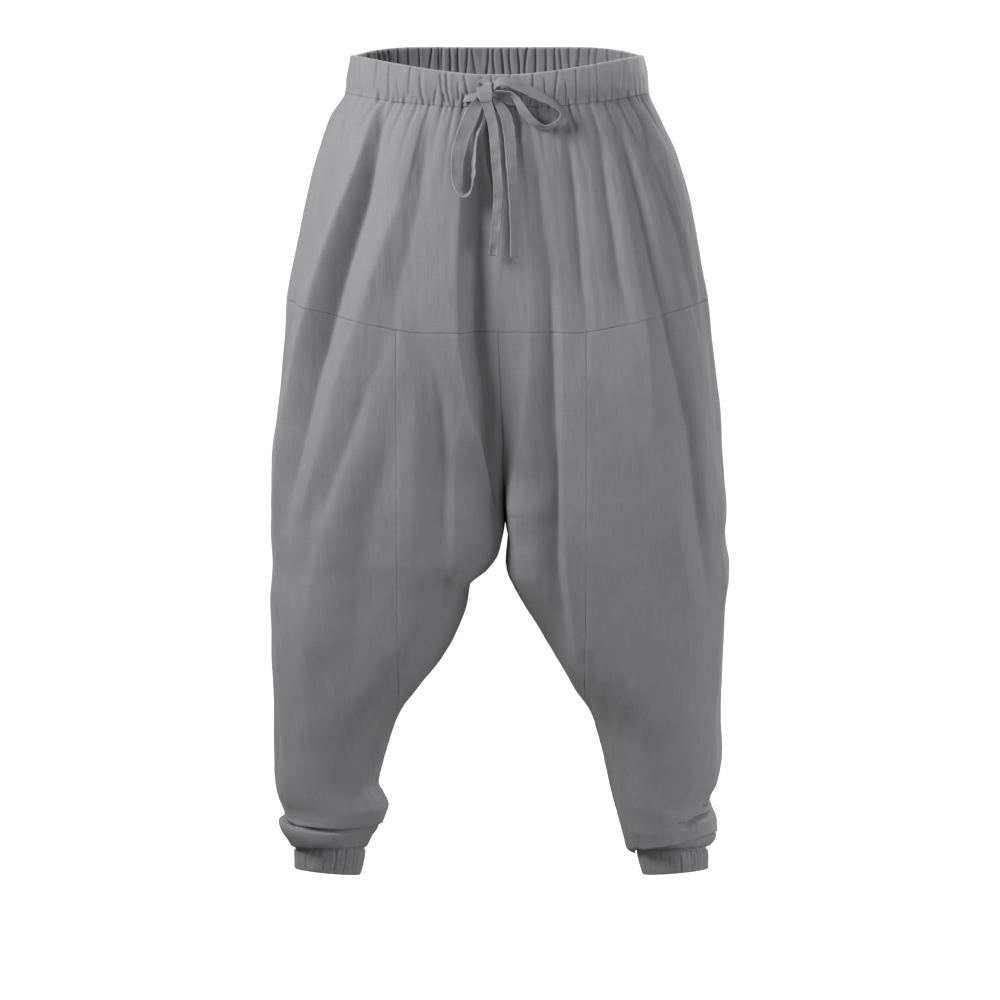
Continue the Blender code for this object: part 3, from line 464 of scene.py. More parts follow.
# Where the threads of the inside start, past those of the outside
INSIDE_THREADS = 60
CUFF_INSIDE_THREADS = 50

# Creases round the ankles: leg, face, the drop of the row that follows it, reach of the
# cloth above and below, how far the cloth above hangs over it, then (share of the way
# from the inseam to the side seam, drop, depth). At a shared seam the front and the back
# have the same crease, so the seam stays closed.
ANKLE_CREASES = (
    ("r", "front", 816, 24, 12, 0, ((0, 816, 2), (0.12, 817, 4), (0.36, 820, 0))),
    ("r", "front", 855, 9, 10, 4.5, ((0, 859, 8), (0.08, 858, 14), (0.35, 855, 17), (0.65, 852.5, 17),
                                     (0.85, 851, 11), (1, 848.5, 6))),
    ("r", "back", 816, 24, 12, 0, ((0, 816, 2), (0.12, 817, 3), (0.3, 820, 0))),
    ("r", "back", 832, 8, 10, 0, ((0.2, 826, 0), (0.45, 830, 5), (0.75, 838, 4), (1, 842, 0))),
    ("r", "back", 858, 9, 10, 4.5, ((0, 859, 8), (0.3, 859, 11), (0.6, 862, 14), (0.85, 854, 10),
                                    (1, 848.5, 6))),
    ("l", "front", 835, 6, 5, 3.5, ((0.78, 835, 0), (0.88, 832.5, 10), (1, 830, 11))),
    ("l", "front", 845, 8, 12, 3.5, ((0.55, 851, 0), (0.6, 848, 8), (0.65, 844, 16), (0.71, 841.5, 17),
                                     (0.85, 841, 9), (1, 841, 1))),
    ("l", "front", 872, 9, 9, 5, ((0.2, 889, 0), (0.3, 888, 6), (0.44, 882, 15), (0.54, 875, 17),
                                  (0.6, 870, 17), (0.7, 866, 17), (0.85, 865, 14), (1, 868, 5))),
    ("l", "back", 833, 6, 5, 3.5, ((0.6, 828, 0), (0.85, 831, 8), (1, 830, 11))),
    ("l", "back", 848, 8, 12, 3.5, ((0.3, 850, 0), (0.6, 851, 9), (0.85, 845, 6), (1, 841, 1))),
    ("l", "back", 873, 9, 9, 5, ((0, 889, 0), (0.3, 880, 10), (0.6, 872, 14), (0.85, 868, 10), (1, 868, 5))),
)
# Drops where the creases' courses start to slide, and of the course that measures them,
# and the depth from which the cloth hangs over a crease in full
CREASES_TOP = 790.0
CREASED_DROP = 858
FULL_HANG = 6
# Pleats of the leg where the cuff gathers it: share of the way, and how far up they run
ANKLE_PULLS = {
    "r": (
        (0.06, 16), (0.11, 9), (0.17, 20), (0.24, 12), (0.3, 7), (0.43, 6), (0.56, 8), (0.71, 6), (0.9, 10),
    ),
    "l": (
        (0.08, 6), (0.2, 5), (0.37, 6), (0.52, 5), (0.63, 10), (0.72, 14), (0.79, 8), (0.86, 13), (0.95, 7),
    ),
}
LONGEST_PLEAT = 24
# ... and how far the foot of the leg turns in to the cuff, at shares of the way, and from
# how far above it
TUCK_REACH = 4
TUCK_SHARES = (0, 0.3, 0.6, 1)
ANKLE_TUCK = {"r": (2, 8, 9, 3), "l": (7, 8, 9, 4)}

# The cuffs' rings, from the seam to the foot
CUFF_COLUMN_NAMES = "z rise lean outer_x inner_x front_y back_y".split()
CUFFS = {
    "r": ((-893, 0.14, 0, -235, -152.5, -55.5, 56), (-905, 0.135, 0.04, -234, -155.5, -54, 54),
          (-919.5, 0.13, 0.1, -234.5, -159, -52, 52)),
    "l": ((-893, 0.14, 0, 243.5, 161.5, -54, 55), (-905, 0.135, 0.03, 243.5, 164.5, -53, 53),
          (-919.5, 0.13, 0.09, 243.5, 168.5, -51, 51)),
}
# The cuffs' gathers: place round the ring as an angle from the front, depth, and the
# heights between which each shows, from 0 at the seam to 1 at the foot
CUFF_CREASES = {
    "r": ((0.22, 2.2, 0, 0.9), (0.38, 1.6, 0.1, 0.6), (0.52, 2.4, 0, 1), (0.66, 1.8, 0.2, 0.9),
          (0.81, 2.4, 0, 0.8), (0.97, 2.0, 0, 1), (1.3, 1.8, 0, 0.6),
          (1.7, 2.2, 0, 1), (2.1, 1.8, 0.3, 1), (2.45, 2.4, 0, 0.7),
          (2.7, 1.8, 0, 1), (3.0, 2.2, 0.2, 1), (3.25, 1.6, 0, 0.6), (3.6, 2.4, 0, 1), (3.95, 1.8, 0, 0.5),
          (4.3, 2.2, 0.1, 1), (4.7, 1.8, 0, 0.8), (5.05, 1.6, 0, 0.5), (5.3, 1.4, 0, 0.9), (5.62, 2.2, 0, 1),
          (5.78, 1.4, 0.1, 0.7), (6.02, 1.0, 0, 0.4), (6.18, 2.0, 0.55, 1)),
    "l": ((0.12, 1.8, 0.35, 1), (0.34, 0.9, 0, 0.3), (0.47, 2.2, 0, 1), (0.58, 1.6, 0, 0.8), (0.7, 2.4, 0, 1),
          (0.83, 2.0, 0, 0.9), (0.98, 2.4, 0, 1), (1.2, 1.8, 0, 1), (1.55, 2.2, 0, 0.8), (1.9, 1.8, 0.2, 1),
          (2.3, 2.4, 0, 1), (2.6, 1.6, 0, 0.6), (2.95, 2.2, 0, 1), (3.3, 1.8, 0.1, 0.9), (3.7, 2.4, 0, 1),
          (4.05, 1.8, 0, 0.7), (4.5, 2.2, 0, 1), (4.85, 1.8, 0, 1), (5.2, 2.0, 0, 1), (5.5, 1.2, 0.2, 1),
          (5.85, 1.0, 0, 0.7), (6.1, 0.9, 0.3, 0.8)),
}
# Courses of a cuff down its outside and up its inside: height, and how far off the ring
CUFF_OUTSIDE = (
    (-888.5, -2.0), (-891.5, -1.9), (-893.4, -1.0), (-894.2, 0.2), (-895.5, 0.8), (-898, 1.2),
    (-900.5, 1.4), (-903, 1.5), (-906, 1.5), (-909, 1.4), (-912, 1.3), (-914.6, 1.1),
    (-917, 0.9), (-918.7, 0.4), (-919.5, 0.0),
)
CUFF_INSIDE = (
    (-919.9, -0.9), (-919.0, -1.9), (-915, -2.6), (-911, -2.6), (-906, -2.6), (-900, -2.6),
    (-896, -2.6), (-892, -2.6), (-889.3, -2.9),
)
# Middle radius of a cuff's threads, the drop of its sewn edge inside the leg, and where its
# gathers start and how high they are
CUFF_RADIUS = 42
CUFF_TUCKED = 889
CUFF_SEAM = 894
CUFF_HIGH = 23

# The tape's section: share of its half width, half its thickness there
TAPE_SECTION = (
    (-1, 0.0), (-0.97, 0.55), (-0.88, 0.8), (-0.76, 0.5), (-0.5, 0.42), (-0.18, 0.4),
    (0.18, 0.4), (0.5, 0.42), (0.76, 0.5), (0.88, 0.8), (0.97, 0.55),
)
# Its steps: their length and least number, how often its line is smoothed, and how far the
# threads of one run start past those of another
TAPE_STEP = 1.5
TAPE_LEAST = 12
TAPE_SMOOTHED = 6
TAPE_THREADS = 300
# Runs of the tape: (x, y, z, turn in degrees, width as a share)
TAPES = {
    "lead_r": ((-37, -107.5, -32.5, 30, 0.7), (-34.5, -110.5, -32.2, 25, 0.72),
               (-31, -112.5, -31.6, 12, 0.75), (-26, -114.5, -30.5, 15, 0.75), (-20, -115.5, -29, 10, 0.7)),
    "lead_l": ((-1.2, -113.5, -30, 10, 0.8), (6, -112.8, -31.5, 16, 0.8), (13, -111, -34, 20, 0.85),
               (17, -109.2, -35.5, 32, 0.85), (19, -106.8, -36, 40, 0.8)),
    "loop_r": ((-19, -121, -34.5, 15, 0.9), (-22, -123.5, -38.5, 8, 1.1), (-26, -126, -46, 4, 1.3),
               (-31, -128, -57, 6, 1.4), (-38, -130.5, -75, 8, 1.35), (-43, -134, -94, 12, 1.3),
               (-44.5, -137.5, -115, 18, 1.2), (-42.5, -140.5, -130, 32, 1.05),
               (-37, -141.5, -139.5, 62, 0.95), (-30, -138.5, -135, 80, 0.95), (-26.5, -133.5, -117, 74, 1),
               (-26.5, -128.5, -94, 66, 1), (-25.5, -125, -76, 52, 1), (-21, -121.5, -58, 36, 1),
               (-18, -118.5, -43, 20, 0.9)),
    "loop_l": ((-5, -117.5, -24, 78, 0.9), (-2, -119.5, -17.5, 66, 0.95), (3.5, -121, -13.5, 40, 1),
               (13, -121.5, -14.5, 38, 1), (30, -120.5, -21.5, 34, 1.05), (47, -118, -29.5, 36, 1.1),
               (61, -115.5, -37, 52, 1), (69.5, -114, -44.5, 74, 1), (70, -114.5, -53, 88, 1),
               (62.5, -116.5, -60.5, 84, 1), (52, -119, -64.5, 66, 1), (40, -121, -58.5, 46, 1.05),
               (29, -121.5, -46, 44, 1.05), (21.5, -121, -33.5, 56, 1), (13, -120, -26.5, 74, 1),
               (4, -119, -24.5, 78, 1), (-3, -118, -27, 70, 0.9)),
    "tail_r": ((-12.6, -124.3, -35, 0, 1.05), (-9.5, -124, -44, 2, 0.96), (-6, -124.8, -56, 2, 0.92),
               (-3.5, -126.8, -73, 0, 0.92), (-1.2, -130, -102, 5, 0.92), (1, -134.5, -130, 5, 0.9),
               (0, -138, -159, 2, 0.86), (-2.7, -140.5, -188, 0, 0.84), (-4.3, -141.5, -206, 0, 0.84)),
    "tail_l": ((-4, -118, -31.5, 62, 0.8), (0.5, -119.2, -37, 40, 0.85), (5.5, -120, -44, 24, 1),
               (10, -121.4, -53, 16, 1.12), (13.5, -124.5, -73, 15, 1.15), (15.5, -130, -102, 20, 1.1),
               (17, -135, -130, 30, 1.05), (18.5, -140.5, -167, 40, 1), (19, -145, -208, 50, 1)),
}
# ... and the turns of it that make the knot
KNOT = (
    ((-15, -112.5, -18.5, 0, 1.35), (-14.6, -117, -17.6, 0, 1.45), (-14.2, -121.5, -19.6, 0, 1.48),
     (-13.6, -124.6, -24.5, 0, 1.4), (-12.9, -125.2, -31, 0, 1.2), (-12.4, -124.6, -36.5, 0, 1.05)),
    ((-21, -113.5, -29, 8, 0.9), (-20.5, -118.5, -29.5, 8, 0.95), (-16.5, -121.2, -30.5, 4, 1),
     (-10, -122, -31.5, -4, 1), (-4.5, -119.5, -31, -12, 0.95), (-3, -114.5, -30, -12, 0.9)),
    ((-6.5, -112.5, -20, 70, 0.8), (-5.2, -117.5, -18.5, 66, 0.9), (-3.8, -120.6, -22.5, 62, 1),
     (-3.6, -121, -28.5, 60, 1), (-5, -119, -34.5, 56, 0.9)),
)
# The bundle inside the knot: half its size, its middle and the scale of its threads
KNOT_HALF = (8.0, 4.6, 7.5)
KNOT_MIDDLE = (-12, -116.4, -28)
KNOT_THREADS = 9
# Seeds of the small unevenness of the tape: between two runs, and of the knot's first turn
RUN_SEED = 3.7
KNOT_SEED = 31


def smooth(knots, values, at):
    """Monotone cubic through a column of a table."""
    knots = np.asarray(knots, float)
    values = np.asarray(values, float)
    at = np.asarray(at, float)
    step = np.diff(knots)
    slope = np.diff(values) / step
    tangent = np.zeros(len(knots))
    product = slope[:-1] * slope[1:]
    total = slope[:-1] + slope[1:]
    tangent[1:-1] = np.where(product > 0, 2 * product / np.where(total == 0, 1, total), 0)
    tangent[0] = slope[0]
    tangent[-1] = slope[-1]
    i = np.clip(np.searchsorted(knots, at, side="right") - 1, 0, len(step) - 1)
    t = np.clip((at - knots[i]) / step[i], 0, 1)
    h = step[i]
    return (
        values[i] * (1 + 2 * t) * (1 - t) ** 2
        + values[i + 1] * t * t * (3 - 2 * t)
        + h * tangent[i] * t * (1 - t) ** 2
        - h * tangent[i + 1] * t * t * (1 - t)
    )


def within(knots, values, at):
    """The same, and nothing beyond the two ends of the table."""
    at = np.asarray(at, float)
    return np.where((at < knots[0]) | (at > knots[-1]), 0, smooth(knots, values, at))


def eased(t):
    """A share that starts and ends gently."""
    t = np.clip(t, 0, 1)
    return t * t * (3 - 2 * t)


def soft(t):
    """A share that starts gently from nothing."""
    least, root = 0.008, 0.0894
    return (np.sqrt(t * t + least) - root) / (np.sqrt(1 + least) - root)


def bell(t):
    """A soft hump, 1 at its middle."""
    return np.exp(-(t**2))


def blunt(away, tip, less):
    """A distance from a crease's line, rounded where it is sharp at nothing."""
    return np.sqrt(away**2 + tip) - less


def wobble(x, y, z):
    """Smooth noise at a place."""
    return noise.noise(Vector((x, y, z)))


def runs(curve):
    """Distances along a curve at its points."""
    return np.concatenate([[0], np.cumsum(np.linalg.norm(np.diff(curve, axis=0), axis=1))])


def at_runs(curve, run, at):
    """What a curve holds at distances along it."""
    return np.stack([np.interp(at, run, curve[:, i]) for i in range(3)], 1)


def unit(v):
    """Directions one long."""
    return v / np.linalg.norm(v, axis=-1, keepdims=True)


# ---------------------------------------------------------------- courses of the cloth

# Share of a section over which it turns in to the centre, the last stretch of the leg, over
# which the inseam drops to the cuff, and into how many parts a section goes of which the
# first drops with it
TURN_IN = 0.15
INSEAM_DROP = 25.0
DROP_PARTS = 3


def section(leg, face, drop):
    """Half a section as a dense curve, from the centre or inseam to the side seam."""
    row = {}
    for names, table in ((BODY_COLUMNS, BODY), (BREADTH_COLUMNS, BREADTH[leg])):
        for i, name in enumerate(names):
            row[name] = smooth(table[:, 0], table[:, i], drop)
    deep_y = row[face + "_y"]
    deep_z = row[face + "_z"]
    centre_y = row["centre_" + face + "_y"]
    centre_z = row["centre_" + face + "_z"]
    t = np.linspace(0, 1, DENSE)
    rising = np.sin(t * np.pi / 2)
    falling = np.clip(np.cos(t * np.pi / 2), 0, 1)

    # from the centre to the middle of the leg
    closed = row["closed"]
    power = np.interp(drop, SQUARE_DROPS, SQUARE)
    along = closed * (1 - falling**power) + (1 - closed) * t
    rise = closed * rising**power + (1 - closed) * rising**2
    turn_y = centre_y if drop < INSEAM_DROPS[0] else np.interp(drop, INSEAM_DROPS, INSEAM_TURN[face])
    x = row["inner_x"] + (row["apex_x"] - row["inner_x"]) * along
    y = turn_y + (deep_y - turn_y) * rise + (centre_y - turn_y) * np.clip(1 - t / TURN_IN, 0, 1) ** 2
    z = centre_z + (deep_z - centre_z) * eased(t)
    inner = np.stack([x, y, z], 1)

    # and on to the side seam
    full = np.interp(drop, FULL_DROPS, FULL[face])
    x = row["apex_x"] + (row["outer_x"] - row["apex_x"]) * rising**full
    y = deep_y * falling**full
    z = deep_z + (-drop - deep_z) * rising ** np.interp(drop, BOW_DROPS, BOW[face])
    outer = np.stack([x, y, z], 1)

    curve = np.concatenate([inner, outer[1:]])
    curve[:, 2] -= np.interp(drop, *zip(*ANKLE_TILT)) * curve[:, 1]
    lowered = LOW_INSEAM[leg] * eased((drop - ANKLE + INSEAM_DROP) / INSEAM_DROP)
    curve[:, 2] -= lowered * eased(1 - np.linspace(0, DROP_PARTS, len(curve)))
    return curve


class Course:
    """One course of the cloth: a half section with its length and outward directions."""

    made = {}
    # half the step between the two sections that give a course its slope
    STEP = 1.5
    # how near the crotch the inseam still grows
    GROWS = 30

    def __init__(self, leg, face, drop):
        self.leg, self.face, self.drop = leg, face, drop
        self.curve = section(leg, face, drop)
        self.run = runs(self.curve)
        self.length = self.run[-1]
        ends = []
        for near in (drop - self.STEP, drop + self.STEP):
            curve = section(leg, face, near)
            run = runs(curve)
            if abs(drop - CROTCH) < self.GROWS:
                # points are matched from the side seam
                ends.append(at_runs(curve, run, run[-1] - self.length + self.run))
            else:
                ends.append(at_runs(curve, run, self.run / self.length * run[-1]))
        down = ends[1] - ends[0]
        out = np.cross(np.gradient(self.curve, axis=0), down)
        out = unit(out * SIDEWAYS[leg] * FORWARD[face])
        # the side seam and the centre or inseam face straight out
        out[-1] = (SIDEWAYS[leg], 0, 0)
        if drop < CROTCH - self.STEP:
            _, dy, dz = down[0]
            out[0] = FORWARD[face] * np.array([0, -dz, dy]) / np.hypot(dy, dz)
        elif drop <= CROTCH:
            out[0] = (0, 0, -1)
        else:
            out[0] = (-SIDEWAYS[leg], 0, 0)
        self.out = out

    @classmethod
    def of(cls, leg, face, drop):
        """The course at a drop, made once."""
        key = (leg, face, round(float(drop), 3))
        if key not in cls.made:
            cls.made[key] = cls(leg, face, float(drop))
        return cls.made[key]

    def point(self, at):
        return at_runs(self.curve, self.run, at)

    def way(self, at):
        return unit(at_runs(self.out, self.run, at))

    def run_at_x(self, x):
        side = SIDEWAYS[self.leg]
        return np.interp(x * side, self.curve[:, 0] * side, self.run)


def seam_run(course):
    """Where the gusset's upright seam crosses a course."""
    x = GUSSET_SEAM_X[course.leg]
    if course.drop <= GUSSET_FORK:
        return course.run_at_x(x)
    if course.drop >= GUSSET_TIP:
        return 0.0
    fork = Course.of(course.leg, course.face, GUSSET_FORK)
    share = fork.run_at_x(x) / fork.length * (GUSSET_TIP - course.drop) / (GUSSET_TIP - GUSSET_FORK)
    return share * course.length


# ---------------------------------------------------------------- how the cloth is pushed

# Distances from the seams over which they still hold the large folds, the side folds and
# the rumpling, and from the cuff over which the rumpling dies away
FOLD_HOLD = 14
SIDE_HOLD = 16
RUMPLE_HOLD = 10
RUMPLE_FADE = 20

# Reach of a fold's crest beyond its top
OVER_CREST = 48.0


def fold_push(course, at):
    """Outward push of the large folds, at runs along a course."""
    side = SIDEWAYS[course.leg]
    push = np.zeros(len(at))
    z = course.curve[:, 2]
    for face, legs, curve_crest, curve_beyond, valley, points in FOLDS:
        if face != course.face or course.leg not in legs:
            continue
        if course.drop > CROTCH and course.leg != legs[0]:
            continue
        if z.min() > points[0][1] or z.max() < points[-1][1]:
            continue
        xs, zs, depths, crests, bands, reaches = zip(*points)
        heights = [-height for height in zs]
        # the fold's line crosses the course at the run called middle
        off = side * (course.curve[:, 0] - np.interp(-z, heights, xs))
        middle = -off[0] if off[0] > 0 else np.interp(0, off, course.run)
        low = -np.interp(at, course.run, z)
        depth = within(heights, depths, low)
        crest = within(heights, crests, low)
        band = np.interp(low, heights, bands)
        reach = np.interp(low, heights, reaches)
        away = (middle - at) * side
        from_line = np.sqrt(away * away + valley * valley) - valley
        flank = crest - (depth + crest) * soft(1 - np.clip(from_line / band, 0, 1)) ** curve_crest
        beyond = crest * soft(1 - np.clip((from_line - band) / OVER_CREST, 0, 1)) ** 1.5
        inner = -depth * soft(1 - np.clip(from_line / reach, 0, 1)) ** curve_beyond
        push += np.where(away < 0, inner, np.where(from_line < band, flank, beyond))
    push *= eased((course.length - at) / FOLD_HOLD)
    if course.drop > CROTCH:
        push *= eased(at / FOLD_HOLD)
    return push


def side_push(course, at):
    """Outward push of the long folds near the side seam: a trough with a soft roll beside it."""
    push = np.zeros(len(at))
    for leg, face, half, points in SIDE_FOLDS:
        drops, places, depths = zip(*points)
        if (leg, face) != (course.leg, course.face) or not drops[0] < course.drop < drops[-1]:
            continue
        away = course.length - at - np.interp(course.drop, drops, places)
        depth = smooth(drops, depths, course.drop)
        push -= depth * np.exp(-np.sqrt((away / half) ** 2 + 0.06) * 1.5 + 0.37)
        push += 0.6 * depth * bell((away - 1.9 * half) / half)
    return push * eased((course.length - at) / SIDE_HOLD)


def gather_push(course, at):
    """Creases that run down from the band, each along its own line of the cloth."""
    push = np.zeros(len(at))
    below = course.drop - BAND_FOOT
    if below < -1 or below > LONGEST_GATHER:
        return push
    top = Course.of(course.leg, course.face, BAND_FOOT)
    side = SIDEWAYS[course.leg]
    for x, depth, half, length in GATHERS[course.face]:
        if below > length:
            continue
        t = max(below, 0) / length
        fade = (1 - t) ** 1.4
        width = 0.85 * half * (1 + 2.2 * t)
        place = top.run_at_x(x) / top.length * course.length if x * side > 0 else -abs(x)
        push -= 1.15 * depth * fade * np.exp(-1.2 * blunt(at - place, 0.4, 0.6) / width)
        push += 0.35 * depth * fade * bell(blunt(at - place, 0.4, 0.6) / (width * 2.8))
    # short sharp pulls between them, slanting away from the middle
    share = at / course.length * top.length
    for k in range(SHORT_PULLS):
        place = top.length * (k + 0.5 + 0.42 * np.sin(7.3 * k + 2 * side)) / SHORT_PULLS
        length = max(13 + 11 * np.sin(3.1 * k + side) + 9 * np.sin(5.7 * k), SHORTEST_PULL)
        if below > length:
            continue
        t = max(below, 0) / length
        lean = (1.2 + np.sin(2.3 * k)) * 0.12 * below
        depth = 1.7 + 0.7 * np.sin(4.1 * k)
        width = 1.1 + 1.6 * t
        push -= depth * (1 - t) * np.exp(-blunt(share - place - lean, 0.15, 0.3) / width)
    return push


def pleat_push(course, at):
    """Small pleats where the cuff gathers the leg, whose foot turns in to it."""
    push = np.zeros(len(at))
    above_cuff = ANKLE - course.drop
    if above_cuff > LONGEST_PLEAT:
        return push
    tuck = np.interp(at / course.length, TUCK_SHARES, ANKLE_TUCK[course.leg])
    push -= tuck * np.clip(1 - above_cuff / TUCK_REACH, 0, 1) ** 1.5
    for k, (place, reach) in enumerate(ANKLE_PULLS[course.leg]):
        if course.face == "back":
            # the same pleats in another order
            place = (place * 1.7 + 0.13) % 0.96
        if above_cuff < reach:
            t = above_cuff / reach
            away = blunt(at - place * course.length + 0.1 * above_cuff, 0.3, 0.5)
            push -= (1.6 + 0.6 * np.sin(3.3 * k)) * (1 - t) * np.exp(-away / (1.0 + 1.2 * t))
    return push


def rumple(course, at):
    """Soft unevenness of hanging cotton, longer down the cloth than across it."""
    out = np.empty(len(at))
    for i, (x, y, z) in enumerate(course.point(at)):
        wide = wobble(x / 26, y / 30, z / 120)
        fine = wobble((x + 0.1 * z) / 8, y / 9 + 9, z / 42)
        slant = wobble((x - 0.5 * z) / 28, y / 30 + 21, (z + 0.5 * x) / 50)
        out[i] = 0.9 * wide + 0.42 * fine + 0.8 * slant
    hold = eased(at / RUMPLE_HOLD) if course.drop > CROTCH else 1.0
    hold = hold * eased((course.length - at) / RUMPLE_HOLD)
    return out * hold * eased((ANKLE - course.drop) / RUMPLE_FADE + 0.1)


# Depth of a seam's dip and of the puckers beside it, height of the small roll there, how far
# off the roll is, and how far the puckers reach
SEAM_DIP = 0.6
PUCKER_DEEP = 0.55
SEAM_ROLL = 0.12
ROLL_AWAY = 3.5
PUCKER_REACH = 6


def seam_push(distance):
    """The dip of a seam and the small roll beside it."""
    return -SEAM_DIP * bell(distance / 0.9) + SEAM_ROLL * bell((distance - ROLL_AWAY) / 2.0)


def seam_hold(along, place):
    """How hard a seam pulls the cloth in, which changes along it."""
    if place == BAND_FOOT:
        return 0.15
    strong = [0.4 + 1.1 * wobble(s / 20, place, 6.1) for s in np.atleast_1d(along)]
    return np.clip(strong, 0.08, 1.0)


def pucker(distance, along, place):
    """Little pulls beside a line of sewing."""
    along = np.broadcast_to(along, np.shape(distance))
    out = np.array([wobble(s / 5.5, place, 3.3) for s in along])
    return PUCKER_DEEP * out * np.exp(-distance / PUCKER_REACH)


# Numbers that tell the upright seams apart where their puckers are drawn, how near a level
# seam is felt, and the distance that stands for no seam at all
GUSSET_SEAM = 11
SIDE_SEAM = 12
INSEAM = 13
SEAM_FELT = 30
NO_SEAM = 99.0


def cloth(course, at):
    """The worn cloth at runs along a course: points, outward directions and how near a seam is."""
    leg, drop = course.leg, course.drop
    points, out = course.point(at), course.way(at)
    push = fold_push(course, at) + side_push(course, at) + gather_push(course, at)
    push += pleat_push(course, at) + rumple(course, at)
    # each seam as (distance from it, distance along it, which one it is)
    seams = []
    if drop >= YOKE_FOOT:
        seams.append((abs(at - seam_run(course)), drop, GUSSET_SEAM))
    seams.append((course.length - at, drop, SIDE_SEAM))
    if drop > CROTCH:
        seams.append((at, drop, INSEAM))
    for level in (BAND_FOOT, YOKE_FOOT, ANKLE):
        if abs(drop - level) < SEAM_FELT:
            seams.append((np.full(len(at), abs(drop - level)), at * SIDEWAYS[leg], level))
    near = np.full(len(at), NO_SEAM)
    for distance, along, place in seams:
        push += seam_push(distance) * seam_hold(along, place) + pucker(distance, along, place)
        near = np.minimum(near, distance)
    return points + out * push[:, None], out, near


def creased(leg, face, drops, rows):
    """The rows of a leg panel, drawn to its ankle creases and folded over them."""
    grids = [np.array([row[k] for row in rows]) for k in range(4)]
    points, out = grids[:2]
    foot = points[np.searchsorted(drops, CREASED_DROP)]
    share = runs(foot) / runs(foot)[-1]
    creases = [c[2:] for c in ANKLE_CREASES if c[:2] == (leg, face)]
    lines, depths = [], []
    for *_, course in creases:
        shares, courses, sunk = zip(*course)
        lines.append(smooth(shares, courses, share))
        depths.append(within(shares, sunk, share))

    # each column slides down or up, so that a row of points follows each crease
    kept = [CREASES_TOP] + [c[0] for c in creases] + [ANKLE]
    to = np.empty(points.shape[:2])
    for j in range(len(share)):
        targets = [CREASES_TOP] + [line[j] for line in lines] + [ANKLE]
        to[:, j] = np.where(drops < CREASES_TOP, drops, np.interp(drops, kept, targets))
        for grid in grids:
            flat = grid[:, j].reshape(len(drops), -1).copy()
            for i in range(flat.shape[1]):
                flat[:, i] = np.interp(to[:, j], drops, flat[:, i])
            grid[:, j] = flat.reshape(grid[:, j].shape)

    for (_, up, down, over, _), line, depth in zip(creases, lines, depths):
        below = to - line
        lip = 0 if over else depth * np.clip(1 + below / up, 0, 1) ** 1.6
        under = depth * np.clip(1 - below / down, 0, 1) ** 1.3
        points += out * -np.where(below < 0, lip, under)[..., None]
        hang = np.where(below < 0, np.clip(1 + below / up, 0, 1) ** 1.7, 0)
        points[..., 2] -= over * np.clip(depth / FULL_HANG, 0, 1) * hang
    return list(zip(*grids))


def graded(length, count, edge=(True, True)):
    """Runs from 0 to a length in count even steps, with finer ones beside sewn edges."""
    start = SEWN_EDGE if edge[0] else SEWN_EDGE[:1]
    end = length - (SEWN_EDGE[::-1] if edge[1] else SEWN_EDGE[:1])
    middle = np.linspace(start[-1], end[0], count + 1)
    return np.concatenate([start[:-1], middle, end[1:]])


def levels(top, foot, step, marks=()):
    """Drops from top to foot, finer beside the seams at both ends and round the marks."""
    drops = top + graded(foot - top, max(2, int(round((foot - top - 2 * SEWN_EDGE[-1]) / step))))
    for mark, reach, fine in marks:
        keep = abs(drops - mark) > reach
        extra = np.arange(mark - reach, mark + reach + fine / 2, fine)
        extra = extra[(extra > top) & (extra < foot)]
        drops = np.unique(np.concatenate([drops[keep], extra, [top, foot]]))
    return drops


# ---------------------------------------------------------------- materials


